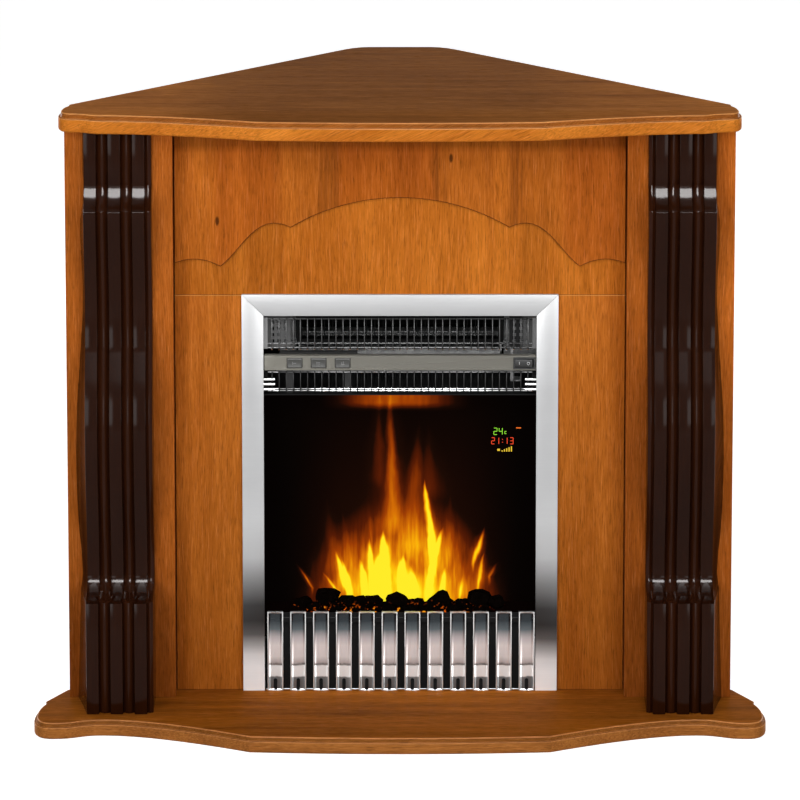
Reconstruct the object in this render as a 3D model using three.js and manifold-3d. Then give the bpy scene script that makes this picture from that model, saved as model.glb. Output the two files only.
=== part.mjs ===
// A corner fireplace: an electric fire with a fan heater, a flame screen and a chrome fret,
// set in a wooden corner surround with a bow-fronted mantel, a hearth and two dark wavy mouldings.
// Millimetres, +Z up, front towards -Y. While the pieces are made, y = 0 is the front face of the
// panels between the posts and z = 0 is the floor; the whole group then moves so that the
// origin is the middle of the underside of its box.

import * as THREE from 'three';
import { mergeVertices } from 'three/addons/utils/BufferGeometryUtils.js';
import Module from 'manifold-3d';

const wasm = await Module();
wasm.setup();

// ---------------------------------------------------------------- driving dimensions

const fit = 0.3; // clearance between pieces that seat on each other

// walls of the corner, which the rear edges of mantel and hearth follow at 45 degrees
const wallReach = 516; // where the wall line crosses y = 0, to either side
const cornerCut = 69; // half width of the square cut at the corner
const cornerRound = 20; // easing where the cut meets the walls

const hearthThick = 25;
const hearthFront = 271; // middle of the bow, in front of the panels
const hearthBowHalf = 231; // half the width of the bow
const hearthBowSag = 10; // how far the bow's corners stand back
const hearthWaist = 171; // depth of the front edge before the mouldings
const hearthTipOver = 51; // beyond the posts
const hearthTipFront = 190;

const mantelThick = 29;
const mantelFront = 131;
const mantelBowHalf = 219;
const mantelBowSag = 8;
const mantelWaist = 74;
const mantelTipOver = 9; // beyond the posts
const mantelTipFront = 62;

const postHeight = 903;
const postInset = 2; // the posts' outer faces inside the wall line
const postWidth = 165;
const postProud = 42; // post faces in front of the panels
const boardThick = 18; // boards of posts, rails and rear
const panelThick = 16;

const fasciaThick = 6;
const fasciaClear = 49; // from the silver frame up to the fascia's ends
const fasciaArchRise = 104; // from the fascia's ends up to the top of its middle arch
const fasciaShoulder = 168.5; // half width of the middle arch

const mouldingInset = 30; // outer edge of the first rib inside the post's edge
const ribWidth = 18.5;
const ribPitch = 37.2;
const grooveDeep = 11;
const beadDrop = 4.5; // how far the beads lie below the ribs
const endBeadDrop = 7.5;
const endBeadWide = 11;
// the moulding's wave: how far it stands proud, and how far below the mantel
const headProud = 20;
const headBelow = 56;
const quirkProud = 16.5;
const quirkBelow = 84;
const crestProud = 51;
const crestBelow = 118;
const waistProud = 19;
const waistBelow = 278;
const creaseProud = 22;
const creaseBelow = 329;
const bellyProud = 64;
const bellyBelow = 470;
const neckProud = 17;
const neckBelow = 702;
const ledgeProud = 94;
const ledgeBelow = 726;
const footProud = 96;
// scroll of its outer flank: how far below the mantel, and how far beyond the first rib
const flankScroll = [
  { below: 0, spread: 2.5 },
  { below: 60, spread: 2.5 },
  { below: 88, spread: 0.9 },
  { below: 115, spread: 3 },
  { below: 142, spread: 6.8 },
  { below: 180, spread: 6.6 },
  { below: 261, spread: 3.5 },
  { below: 350, spread: 8.4 },
  { below: 430, spread: 14 },
  { below: 515, spread: 16.5 },
  { below: 615, spread: 14 },
  { below: 684, spread: 8 },
  { below: 710, spread: 8.6 },
  { below: 738, spread: 12.8 },
  { below: 765, spread: 16.4 },
  { below: 900, spread: 16.5 },
];

const trimOuter = 244.5; // half width over the silver frame
const trimWide = 33.5;
const trimProud = 7;
const sheet = 1.5; // sheet metal of frame, case and brackets

const caseFlange = 13; // of the case behind the silver frame
const caseAbove = 17.9; // case above the upper guard
const caseDepth = 150;
const caseFront = 3;

const dividerHeight = 473; // floor of the heater above the hearth
const wirePitch = 11;
const wireThick = 1.8;
const guardInset = 2.5; // ends of the rails inside the silver frame
const lowerGuardClear = 5.2; // above the heater's floor
const lowerGuardTall = 33.5;
const stripClear = 2.6; // from the lower guard up to the strip
const stripTall = 23.1;
const upperGuardClear = 9.4; // from the strip up to the upper guard
const upperGuardTall = 50;
const frameClear = 5.2; // from the upper guard up to the silver frame
const guardEndWide = 53;
const guardEndDepth = 24;

const stripProud = 2;
const stripFlange = 14;
const buttonWide = 23;
const buttonTall = 14.6;
const buttonProud = 2;
const buttonTravel = 1.8;
const buttonLong = 18;
const buttonInset = 46.5; // middle of the first button from the strip's end
const buttonPitch = 37.15;
const buttonPlay = 0.7; // round a button in its hole
const rockerInset = 17.3; // middle of the rocker from the strip's end
const rockerWide = 27;
const rockerTall = 11.6;
const rockerThick = 6;
const rockerAngle = 8; // either side of the middle, degrees
const rockerPlay = 1.1;
const bezelRim = 2.4;
const bezelLong = 24;

const heaterInset = 64; // ends inside the case
const heaterLift = 3.2; // above the upper guard's lower rail
const heaterTall = 44;
const heaterDepth = 16;
const heaterAt = 36;
const finPitch = 13;
const finThick = 1.2;

const fanFromBack = 53; // the fan's axis in front of the case's back
const fanAbove = 62; // and above the heater's floor
const fanRadius = 25;
const fanInset = 66;
const fanBlades = 12;
const fanHousingGap = 5;
const shaftRadius = 3;
const fanMotorRadius = 24;
const fanMotorLong = 34;

const screenAt = 50;
const screenThick = 4;
const screenFrom = 90;
const displayInset = 46.5; // its middle from the silver frame's inner edge
const displayBelow = 78.5; // and below the heater's floor
const displayWide = 54;
const displayTall = 48;
const displayThick = 12;

const fretTall = 127;
const fretBars = 12;
const fretGap = 1.35; // at either end inside the silver frame
const fretBarWide = 25.5;
const fretBarDeep = 7;
const fretRail = 3;
const fretBackThick = 2;

const trayFrontHeight = 119; // ember tray above the hearth
const trayRise = 10;
const trayThick = 3;
const traySkirt = 34;
const coalAt = 28;

const spindleHeight = 78;
const spindleInset = 48;
const vaneRadius = 17;
const vaneCount = 9;
const vanePitch = 36;
const flickerMotorRadius = 17;
const flickerMotorLong = 24;

const ledAt = 78;
const ledInset = 54;
const ledWide = 14;
const ledPitch = 34;
const ledDome = 5;

const glandRadius = 11;
const glandBore = 4;
const glandLong = 16;
const glandAcross = 150;
const glandHeight = 45;

const boardBelow = 203; // circuit board's lower edge below the heater's floor
const cutoutAbove = 87; // thermal cut-out above the heater's floor
const rearGap = 180; // height of the cable gap under the rear board

// ---------------------------------------------------------------- heights and places

const hearthTop = hearthThick;
const mantelUnder = hearthTop + postHeight;
const standAt = hearthTop + fit; // underside of what stands on the hearth
const hangAt = mantelUnder - fit; // top of what carries the mantel
const cornerFlat = wallReach - cornerCut; // depth of the square cut
const postOuter = wallReach - postInset; // half width over both posts
const postInner = postOuter - postWidth;
const hearthTipHalf = postOuter + hearthTipOver;
const mantelTipHalf = postOuter + mantelTipOver;
const mouldingOuter = postOuter - mouldingInset;
const postFace = -postProud;
const postBack = postFace + boardThick;
const panelHalf = postInner - fit;
const trimInner = trimOuter - trimWide;
const trimFace = -trimProud;
const dividerAt = hearthTop + dividerHeight;
const lowerGuardAt = dividerAt + lowerGuardClear;
const stripLow = lowerGuardAt + lowerGuardTall + stripClear;
const stripHigh = stripLow + stripTall;
const upperGuardAt = stripHigh + upperGuardClear;
const trimTopAt = upperGuardAt + upperGuardTall + frameClear + trimWide;
const caseBackAt = caseFront + caseDepth;
const caseTopAt = upperGuardAt + upperGuardTall + caseAbove + fit;
const caseHalf = trimInner + caseFlange;
const caseInside = caseHalf - sheet;
const guardHalf = trimInner - guardInset;
const mouldingInner = mouldingOuter - ribWidth - 2 * ribPitch - endBeadWide;

// ---------------------------------------------------------------- materials

const finish = (color, roughness, metalness = 0) =>
  new THREE.MeshStandardMaterial({ color, roughness, metalness });

const finishes = {
  teak: () => finish(0xb4702c, 0.45),
  teakTop: () => finish(0x8a5127, 0.4),
  teakRed: () => finish(0xa85c25, 0.45),
  chocolate: () => finish(0x2a1208, 0.25),
  rawBoard: () => finish(0xb99a6b, 0.8),
  brushedSilver: () => finish(0xc9ccd0, 0.35, 1),
  chrome: () => finish(0xdfe2e6, 0.12, 1),
  blackSteel: () => finish(0x17181a, 0.5, 0.6),
  zinc: () => finish(0x9a9da1, 0.45, 0.9),
  olive: () => finish(0x4a4a44, 0.4, 0.7),
  blackPlastic: () => finish(0x1b1c1e, 0.45),
  greyPlastic: () => finish(0x3a3d41, 0.5),
  screen: () => finish(0x140a05, 0.1),
  coal: () => finish(0x0e0c0b, 0.7),
  ember: () => finish(0x6b2a0c, 0.7),
  board: () => finish(0x2f6a3d, 0.5),
};

// ---------------------------------------------------------------- helpers

const fireplace = new THREE.Group();
fireplace.name = 'corner_fireplace';

const add = (name, geometry, material) => {
  const mesh = new THREE.Mesh(geometry, material);
  mesh.name = name;
  fireplace.add(mesh);
  return mesh;
};

const toSolid = (geometry) => {
  const source = geometry.clone();
  source.deleteAttribute('normal');
  source.deleteAttribute('uv');
  const merged = mergeVertices(source, 1e-4);
  return new wasm.Manifold(new wasm.Mesh({
    numProp: 3,
    vertProperties: new Float32Array(merged.attributes.position.array),
    triVerts: new Uint32Array(merged.index.array),
  }));
};

const toGeometry = (solid) => {
  const mesh = solid.getMesh();
  const geometry = new THREE.BufferGeometry();
  geometry.setAttribute('position', new THREE.BufferAttribute(mesh.vertProperties, 3));
  geometry.setIndex(new THREE.BufferAttribute(mesh.triVerts, 1));
  geometry.computeVertexNormals();
  return geometry;
};

const join = (...geometries) =>
  toGeometry(geometries.map(toSolid).reduce((whole, piece) => whole.add(piece)));

const cut = (geometry, ...cutters) =>
  toGeometry(cutters.map(toSolid).reduce((rest, cutter) => rest.subtract(cutter), toSolid(geometry)));

// a box between two values along each axis
const block = ([x0, x1], [y0, y1], [z0, z1]) =>
  new THREE.BoxGeometry(x1 - x0, y1 - y0, z1 - z0)
    .translate((x0 + x1) / 2, (y0 + y1) / 2, (z0 + z1) / 2);

const shapeOf = (points) => new THREE.Shape(points.map(([u, v]) => new THREE.Vector2(u, v)));

const extrude = (shape, depth, curveSegments = 8) =>
  new THREE.ExtrudeGeometry(shape, { depth, bevelEnabled: false, steps: 1, curveSegments });

// a plan (x, y) raised from one height to another
const raisePlan = (shape, z0, z1, curveSegments) =>
  extrude(shape, z1 - z0, curveSegments).translate(0, 0, z0);

const axisX = new THREE.Vector3(1, 0, 0);
const axisY = new THREE.Vector3(0, 1, 0);
const axisZ = new THREE.Vector3(0, 0, 1);

// a side section (y, z) run along x
const runAcross = (shape, x0, x1, curveSegments) =>
  extrude(shape, x1 - x0, curveSegments)
    .applyMatrix4(new THREE.Matrix4().makeBasis(axisY, axisZ, axisX))
    .translate(x0, 0, 0);

// a front outline (x, z) given thickness from y0 to y1
const runBack = (shape, y0, y1, curveSegments) =>
  extrude(shape, y1 - y0, curveSegments)
    .applyMatrix4(new THREE.Matrix4().makeBasis(axisX, axisZ, axisY.clone().negate()))
    .translate(0, y1, 0);

// a round bar along x
const roundAcross = (radius, x0, x1, y, z, sides = 16) =>
  new THREE.CylinderGeometry(radius, radius, x1 - x0, sides)
    .rotateZ(Math.PI / 2)
    .translate((x0 + x1) / 2, y, z);

// a turned piece about y: profile of [radius, distance along the axis]
const turned = (profile, sides) =>
  new THREE.LatheGeometry(profile.map(([r, a]) => new THREE.Vector2(r, a)), sides);

// horizontal rings of equal count, from the bottom up, closed at both ends
const loft = (rings) => {
  const count = rings[0].length;
  const positions = rings.flat().flatMap((point) => [point.x, point.y, point.z]);
  const index = [];
  for (let level = 0; level + 1 < rings.length; level++) {
    for (let i = 0; i < count; i++) {
      const a = level * count + i;
      const b = level * count + (i + 1) % count;
      index.push(a, b, b + count, a, b + count, a + count);
    }
  }
  const flat = (ring) => ring.map((point) => new THREE.Vector2(point.x, point.y));
  const last = (rings.length - 1) * count;
  THREE.ShapeUtils.triangulateShape(flat(rings[0]), []).forEach(([a, b, c]) => index.push(c, b, a));
  THREE.ShapeUtils.triangulateShape(flat(rings[rings.length - 1]), [])
    .forEach(([a, b, c]) => index.push(last + a, last + b, last + c));
  const geometry = new THREE.BufferGeometry();
  geometry.setAttribute('position', new THREE.Float32BufferAttribute(positions, 3));
  geometry.setIndex(index);
  geometry.computeVertexNormals();
  return geometry;
};

// the same outline, drawn in by a distance at every point that is moulded
const drawnIn = (outline, inset, z) => outline.map((point, i) => {
  const before = outline[(i + outline.length - 1) % outline.length];
  const after = outline[(i + 1) % outline.length];
  const along1 = new THREE.Vector2(point.x - before.x, point.y - before.y).normalize();
  const along2 = new THREE.Vector2(after.x - point.x, after.y - point.y).normalize();
  const out = new THREE.Vector2(along1.y + along2.y, -along1.x - along2.x).normalize();
  const spread = Math.max(out.dot(new THREE.Vector2(along1.y, -along1.x)), 0.5);
  const shift = point.moulded ? inset / spread : 0;
  return new THREE.Vector3(point.x - out.x * shift, point.y - out.y * shift, z);
});

// ---------------------------------------------------------------- mantel and hearth

// The rear edges run along the walls and stay square; the ends and the front are moulded.
const slabOutline = ({ tipHalf, tipFront, waist, bowHalf, bowEnd, front, wallEnd, shoulder }) => {
  const rear = new THREE.Path();
  rear.moveTo(-(wallReach - cornerFlat) + cornerRound, cornerFlat);
  rear.quadraticCurveTo(
    -(wallReach - cornerFlat), cornerFlat,
    -(wallReach - cornerFlat) - cornerRound, cornerFlat - cornerRound);
  rear.lineTo(-wallEnd, wallReach - wallEnd);
  if (shoulder.x !== -wallEnd) rear.lineTo(shoulder.x, shoulder.y);
  const side = new THREE.Path();
  side.moveTo(shoulder.x, shoulder.y);
  side.quadraticCurveTo(-tipHalf, shoulder.bend, -tipHalf, (shoulder.bend - tipFront) / 2);
  side.quadraticCurveTo(-tipHalf, -tipFront, shoulder.noseX, -tipFront);
  const waistX = -(postOuter + postInner) / 2 - 25;
  const betweenX = (shoulder.noseX + waistX) / 2;
  side.bezierCurveTo(betweenX, -tipFront, betweenX, -waist, waistX, -waist);
  side.bezierCurveTo(
    -postInner - 45, -waist,
    -bowHalf - 75, -(waist + bowEnd) / 2,
    -bowHalf, -bowEnd);
  side.quadraticCurveTo(-bowHalf / 2, -front, 0, -front);
  const plain = rear.getPoints(3).map(({ x, y }) => ({ x, y, moulded: false }));
  const moulded = side.getPoints(9).slice(1).map(({ x, y }) => ({ x, y, moulded: true }));
  const left = [...plain, ...moulded];
  const right = left.slice(0, -1).reverse().map(({ x, y, moulded: m }) => ({ x: -x, y, moulded: m }));
  return [...left, ...right];
};

// rounded nose under a step and a band: [share of the thickness from the top, inset]
const noseProfile = [
  [1, 2.6], [0.93, 0.4], [0.86, 0], [0.33, 0],
  [0.29, 0.6], [0.27, 3.6], [0.05, 4.4], [0, 6],
];

const edgedSlab = (outline, zLow, thick) =>
  loft(noseProfile.map(([share, inset]) => drawnIn(outline, inset, zLow + thick * (1 - share))));

const hearthOutline = slabOutline({
  tipHalf: hearthTipHalf,
  tipFront: hearthTipFront,
  waist: hearthWaist,
  bowHalf: hearthBowHalf,
  bowEnd: hearthFront - hearthBowSag,
  front: hearthFront,
  wallEnd: wallReach + 3, // from here the hearth widens to its ends
  shoulder: { x: -hearthTipHalf + 15, y: -68, bend: -100, noseX: -hearthTipHalf + 30 },
});
add('hearth_base', edgedSlab(hearthOutline, 0, hearthThick), finishes.teakTop());

const mantelOutline = slabOutline({
  tipHalf: mantelTipHalf,
  tipFront: mantelTipFront,
  waist: mantelWaist,
  bowHalf: mantelBowHalf,
  bowEnd: mantelFront - mantelBowSag,
  front: mantelFront,
  wallEnd: wallReach - 8,
  shoulder: { x: -wallReach + 8, y: 8, bend: -9, noseX: -mantelTipHalf + 22 },
});
add('mantel_top', edgedSlab(mantelOutline, mantelUnder, mantelThick), finishes.teakTop());

// ---------------------------------------------------------------- posts, sides and rails

const rearEnd = cornerFlat - 22; // where the side panels stop behind
const sideInset = 6 * Math.SQRT2; // side panels stand in from the wall line
const sideDepth = panelThick * Math.SQRT2;
const outerLine = wallReach - sideInset; // outer face: y = outerLine - |x|
const innerLine = outerLine - sideDepth;
const sideStart = outerLine - postOuter;

const bothSides = [['left', -1], ['right', 1]];

// mirrors a plan outline for the right-hand side and keeps it turning the same way
const sidePlan = (sign, points) => shapeOf(points.map(([x, y]) => [sign * x, y]));

bothSides.forEach(([side, sign]) => {
  const across = (from, to) => [Math.min(sign * from, sign * to), Math.max(sign * from, sign * to)];
  add(`${side}_post_face`,
    block(across(postInner, postOuter), [postFace, postBack], [standAt, hangAt]), finishes.teak());
  add(`${side}_inner_cheek`,
    block(across(postInner, postInner + boardThick), [postBack + fit, panelThick + boardThick],
      [standAt, hangAt]), finishes.teak());
  add(`${side}_outer_cheek`,
    block(across(postOuter - boardThick, postOuter), [postBack + fit, sideStart - fit],
      [standAt, hangAt]), finishes.teak());
  const panel = sidePlan(sign, [
    [postOuter, sideStart],
    [innerLine - sideStart, sideStart],
    [innerLine - rearEnd, rearEnd],
    [outerLine - rearEnd, rearEnd],
  ]);
  add(`${side}_side_panel`, raisePlan(panel, standAt, hangAt), finishes.teak());
});

const rearHalf = outerLine - rearEnd - boardThick;
add('rear_board',
  block([-rearHalf, rearHalf], [rearEnd + fit, rearEnd + fit + panelThick], [hearthTop + rearGap, hangAt]),
  finishes.rawBoard());

const railBack = panelThick + fit + boardThick;
add('top_rail',
  block([-panelHalf, panelHalf], [panelThick + fit, railBack], [hangAt - 2 * boardThick, hangAt]),
  finishes.rawBoard());
const jointRailAt = caseTopAt + 4;
add('joint_rail',
  block([-panelHalf, panelHalf], [panelThick + fit, railBack], [jointRailAt, jointRailAt + 2 * boardThick]),
  finishes.rawBoard());

// ---------------------------------------------------------------- panels and scalloped fascia

const panelJoint = trimTopAt - 2;
add('arch_panel',
  block([-panelHalf, panelHalf], [0, panelThick], [panelJoint + fit, hangAt]), finishes.teak());
bothSides.forEach(([side, sign]) => {
  const [x0, x1] = [sign * (caseHalf + 2), sign * panelHalf].sort((a, b) => a - b);
  add(`${side}_facing`, block([x0, x1], [0, panelThick], [standAt, panelJoint]), finishes.teak());
});

// lower edge, from the left end to the middle: a shallow hollow, a cusp, a steep rise to a
// shoulder, a second cusp and the middle arch, then the same again mirrored
const fasciaEnd = trimTopAt + fasciaClear;
const archTop = fasciaEnd + fasciaArchRise;
const outerCusp = { x: -fasciaShoulder - 108.5, z: fasciaEnd - 4.5 };
const shoulderTop = { x: -fasciaShoulder - 26.5, z: fasciaEnd + 63.8 };
const innerCusp = { x: -fasciaShoulder, z: fasciaEnd + 57 };
const archSag = archTop - innerCusp.z;
const archRadius = (fasciaShoulder ** 2 + archSag ** 2) / (2 * archSag);
const archTurn = Math.asin(fasciaShoulder / archRadius);

const scallop = new THREE.Path();
scallop.moveTo(-panelHalf, fasciaEnd);
scallop.quadraticCurveTo(-panelHalf / 2 + outerCusp.x / 2, fasciaEnd + 16, outerCusp.x, outerCusp.z);
scallop.bezierCurveTo(
  outerCusp.x + 25, outerCusp.z + 17,
  shoulderTop.x - 33, shoulderTop.z,
  shoulderTop.x, shoulderTop.z);
scallop.quadraticCurveTo(shoulderTop.x + 14, shoulderTop.z, innerCusp.x, innerCusp.z);
scallop.absarc(0, archTop - archRadius, archRadius, Math.PI / 2 + archTurn, Math.PI / 2, true);

const lowerLeft = scallop.getPoints(10);
const lowerRight = lowerLeft.slice(0, -1).reverse().map(({ x, y }) => new THREE.Vector2(-x, y));
const fasciaShape = new THREE.Shape([
  ...lowerLeft,
  ...lowerRight,
  new THREE.Vector2(panelHalf, hangAt),
  new THREE.Vector2(-panelHalf, hangAt),
]);
add('upper_fascia', runBack(fasciaShape, -fit - fasciaThick, -fit), finishes.teakRed());

// ---------------------------------------------------------------- wavy mouldings

// projection in front of the post against height, from the top down
const wave = new THREE.Path();
const mix = (from, to, share) => from + (to - from) * share;
const heightBelow = (from, to, share) => mantelUnder - mix(from, to, share);
// a cove that sweeps forwards to a sharp edge: the share of its way forwards and down at which
// it turns
const cove = (fromProud, fromBelow, toProud, toBelow, forwards, down) => {
  wave.quadraticCurveTo(
    mix(fromProud, toProud, forwards), heightBelow(fromBelow, toBelow, down),
    toProud, mantelUnder - toBelow);
};
wave.moveTo(headProud, hangAt);
wave.lineTo(headProud, mantelUnder - headBelow);
wave.quadraticCurveTo(
  headProud, heightBelow(headBelow, quirkBelow, 0.57),
  quirkProud, mantelUnder - quirkBelow);
cove(quirkProud, quirkBelow, crestProud, crestBelow, 0.25, 0.55);
wave.bezierCurveTo(
  crestProud, heightBelow(crestBelow, waistBelow, 0.36),
  waistProud + 1, heightBelow(crestBelow, waistBelow, 0.61),
  waistProud, mantelUnder - waistBelow);
wave.lineTo(creaseProud, mantelUnder - creaseBelow);
wave.bezierCurveTo(
  mix(creaseProud, bellyProud, 0.26), heightBelow(creaseBelow, bellyBelow, 0.24),
  bellyProud, heightBelow(creaseBelow, bellyBelow, 0.64),
  bellyProud, mantelUnder - bellyBelow);
wave.bezierCurveTo(
  bellyProud, heightBelow(bellyBelow, neckBelow, 0.5),
  neckProud, heightBelow(bellyBelow, neckBelow, 0.62),
  neckProud, mantelUnder - neckBelow);
cove(neckProud, neckBelow, ledgeProud, ledgeBelow, 0.02, 0.95);
wave.lineTo(footProud, standAt);

const scrollLine = new THREE.SplineCurve(
  flankScroll.map(({ below, spread }) => new THREE.Vector2(below, spread))).getPoints(120);
const spreadAt = (below) => {
  const next = scrollLine.findIndex((point) => point.x >= below);
  if (next <= 0) return scrollLine[next < 0 ? scrollLine.length - 1 : 0].y;
  const [a, b] = [scrollLine[next - 1], scrollLine[next]];
  return mix(a.y, b.y, (below - a.x) / (b.x - a.x));
};

// section of the moulding, seen from above, as [across, depth below the ribs]
const mouldingSection = (projection, spread) => {
  const points = [];
  points.push([mouldingOuter + spread, projection]);
  points.push([mouldingOuter + 0.45 * spread + 0.3, 0.5 * projection]);
  points.push([mouldingOuter + 0.3, 2.5]);
  for (let rib = 0; rib < 3; rib++) {
    const from = mouldingOuter - rib * ribPitch;
    const to = from - ribWidth;
    points.push([from, 0], [to, 0]);
    if (rib < 2) {
      const groove = ribPitch - ribWidth;
      const middle = to - groove / 2;
      const bead = groove * 0.28;
      points.push([to - 1.5, grooveDeep]);
      points.push([middle + bead, beadDrop + 2.5], [middle, beadDrop], [middle - bead, beadDrop + 2.5]);
      points.push([to - groove + 1.5, grooveDeep]);
    }
  }
  points.push([mouldingInner + endBeadWide - 1.5, endBeadDrop + 3]);
  points.push([mouldingInner + endBeadWide * 0.55, endBeadDrop - 0.5]);
  points.push([mouldingInner + 1, endBeadDrop + 2.5]);
  points.push([mouldingInner, projection]);
  return points;
};

const mouldingRing = (sign, projection, z) => {
  const section = mouldingSection(projection, spreadAt(mantelUnder - z));
  const ring = section.map(([across, deep]) =>
    new THREE.Vector3(sign * across, postFace - fit - projection + deep, z));
  return sign < 0 ? ring : ring.reverse();
};

const waveStations = wave.getPoints(7).reverse();
bothSides.forEach(([side, sign]) => {
  const rings = waveStations.map(({ x, y }) => mouldingRing(sign, x, y));
  add(`${side}_moulding`, loft(rings), finishes.chocolate());
});

// ---------------------------------------------------------------- silver frame of the fire

// section of the frame, from its outer edge inwards: [distance in, y]
const trimSection = [
  [0, -fit],
  [0, trimFace],
  [trimWide, trimFace],
  [trimWide, caseFront - fit],
  [trimWide - sheet, caseFront - fit],
  [trimWide - sheet, trimFace + sheet],
  [sheet, trimFace + sheet],
  [sheet, -fit],
];

// sides: the section stands upright and its top end is cut to the mitre
bothSides.forEach(([side, sign]) => {
  const plan = sidePlan(sign, trimSection.map(([inwards, y]) => [trimOuter - inwards, y]));
  const upright = raisePlan(plan, standAt, trimTopAt);
  const places = upright.attributes.position;
  for (let i = 0; i < places.count; i++) {
    const mitre = trimTopAt - (trimOuter - Math.abs(places.getX(i)));
    if (places.getZ(i) > standAt) places.setZ(i, mitre - fit);
  }
  add(`trim_${side}`, upright, finishes.brushedSilver());
});

// top: the same section lies across, with a mitre at both ends
const topSection = shapeOf(trimSection.map(([inwards, y]) => [y, trimTopAt - inwards]));
const topTrim = runAcross(topSection, -trimOuter, trimOuter);
for (let i = 0; i < topTrim.attributes.position.count; i++) {
  const places = topTrim.attributes.position;
  const end = trimOuter - (trimTopAt - places.getZ(i));
  places.setX(i, Math.sign(places.getX(i)) * end);
}
add('trim_top', topTrim, finishes.brushedSilver());

// ---------------------------------------------------------------- case of the fire

bothSides.forEach(([side, sign]) => {
  const plan = sidePlan(sign, [
    [caseHalf, caseFront],
    [trimInner, caseFront],
    [trimInner, caseFront + sheet],
    [caseInside, caseFront + sheet],
    [caseInside, caseBackAt],
    [caseHalf, caseBackAt],
  ]);
  add(`case_${side}_wall`,
    raisePlan(plan, standAt + sheet + fit, caseTopAt - sheet - fit), finishes.blackSteel());
});
add('case_floor',
  block([-caseHalf, caseHalf], [caseFront + 12, caseBackAt], [standAt, standAt + sheet]), finishes.zinc());
add('case_roof',
  block([-caseHalf, caseHalf], [caseFront, caseBackAt], [caseTopAt - sheet, caseTopAt]),
  finishes.blackSteel());

const glandZ = hearthTop + glandHeight;
const glandHole = new THREE.CylinderGeometry(glandBore + 2, glandBore + 2, 6 * sheet, 16)
  .translate(glandAcross, caseBackAt + fit + sheet / 2, glandZ);
const backPlate = block([-caseHalf, caseHalf], [caseBackAt + fit, caseBackAt + fit + sheet],
  [standAt, caseTopAt]);
add('case_back', cut(backPlate, glandHole), finishes.zinc());

const inWalls = caseInside - fit;
add('divider_plate',
  block([-inWalls, inWalls], [caseFront + sheet + fit, caseBackAt - fit], [dividerAt, dividerAt + sheet]),
  finishes.zinc());

// ---------------------------------------------------------------- wire guards and their ends

const guardAt = caseFront + 1; // front plane of the wires
const tabDepth = caseFront + sheet + fit;

const wireGuard = (z0, tall) => {
  const z1 = z0 + tall;
  const wires = [];
  const last = Math.floor(guardHalf / wirePitch - 0.5);
  for (let i = -last; i <= last; i++) {
    const x = i * wirePitch;
    wires.push(block([x - wireThick / 2, x + wireThick / 2], [guardAt, guardAt + wireThick],
      [z0 + wireThick, z1 - wireThick]));
  }
  const rails = [z0, z1 - 2 * wireThick].map((z) =>
    block([-guardHalf, guardHalf], [guardAt - 0.4, guardAt + 2 * wireThick], [z, z + 2 * wireThick]));
  const tabs = bothSides.map(([, sign]) => {
    const [x0, x1] = [sign * (guardHalf - 6), sign * inWalls].sort((a, b) => a - b);
    return block([x0, x1], [tabDepth, tabDepth + 2 * wireThick], [z0, z1]);
  });
  return join(...rails, ...tabs, ...wires);
};
add('upper_guard', wireGuard(upperGuardAt, upperGuardTall), finishes.blackSteel());
add('lower_guard', wireGuard(lowerGuardAt, lowerGuardTall), finishes.blackSteel());

// perforated plates that close the ends of the warm air outlet
const perforation = { rows: 4, columns: 3, size: 5, pitch: 10 };
bothSides.forEach(([side, sign]) => {
  const far = inWalls;
  const near = far - guardEndWide;
  const [x0, x1] = [sign * near, sign * far].sort((a, b) => a - b);
  const z0 = upperGuardAt - 4;
  const plate = block([x0, x1], [guardEndDepth, guardEndDepth + sheet], [z0, z0 + upperGuardTall + 8]);
  const holes = [];
  for (let row = 0; row < perforation.rows; row++) {
    for (let column = 0; column < perforation.columns; column++) {
      const x = sign * (near + 8 + column * perforation.pitch);
      const z = z0 + 12 + row * perforation.pitch;
      const half = perforation.size / 2;
      holes.push(block([x - half, x + half], [guardEndDepth - 1, guardEndDepth + sheet + 1],
        [z - half, z + half]));
    }
  }
  add(`${side}_guard_end`, cut(plate, ...holes), finishes.zinc());
});

// ---------------------------------------------------------------- control strip, buttons, rocker

const stripFace = -stripProud;
const stripMid = (stripLow + stripHigh) / 2;
const stripHalf = trimInner - 1.5;
const buttonNames = ['heat_low_button', 'heat_high_button', 'flame_button'];
const buttonPlaces = buttonNames.map((name, i) => buttonInset - stripHalf + i * buttonPitch);
const rockerAcross = stripHalf - rockerInset;

const channel = cut(
  block([-stripHalf, stripHalf], [stripFace, stripFace + stripFlange], [stripLow, stripHigh]),
  block([-stripHalf - 1, stripHalf + 1], [stripFace + sheet, stripFace + stripFlange + 1],
    [stripLow + sheet, stripHigh - sheet]));
const stripTabs = bothSides.map(([, sign]) => {
  const [x0, x1] = [sign * (stripHalf - 12), sign * inWalls].sort((a, b) => a - b);
  return block([x0, x1], [tabDepth, tabDepth + sheet], [stripLow + sheet / 2, stripHigh - sheet / 2]);
});
const buttonHoles = buttonPlaces.map((x) =>
  block([x - buttonWide / 2 - buttonPlay, x + buttonWide / 2 + buttonPlay],
    [stripFace - 1, stripFace + sheet + 1],
    [stripMid - buttonTall / 2 - buttonPlay, stripMid + buttonTall / 2 + buttonPlay]));
const bezelInsideWide = rockerWide + 2 * rockerPlay;
const bezelInsideTall = rockerTall + 2 * rockerPlay;
const bezelWall = 1;
const bezelHalfWide = bezelInsideWide / 2 + bezelWall;
const bezelHalfTall = bezelInsideTall / 2 + bezelWall;
const bezelHole = block(
  [rockerAcross - bezelHalfWide - fit, rockerAcross + bezelHalfWide + fit],
  [stripFace - 1, stripFace + bezelLong + 2],
  [stripMid - bezelHalfTall - fit, stripMid + bezelHalfTall + fit]);
add('control_strip', cut(join(channel, ...stripTabs), ...buttonHoles, bezelHole), finishes.olive());

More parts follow.
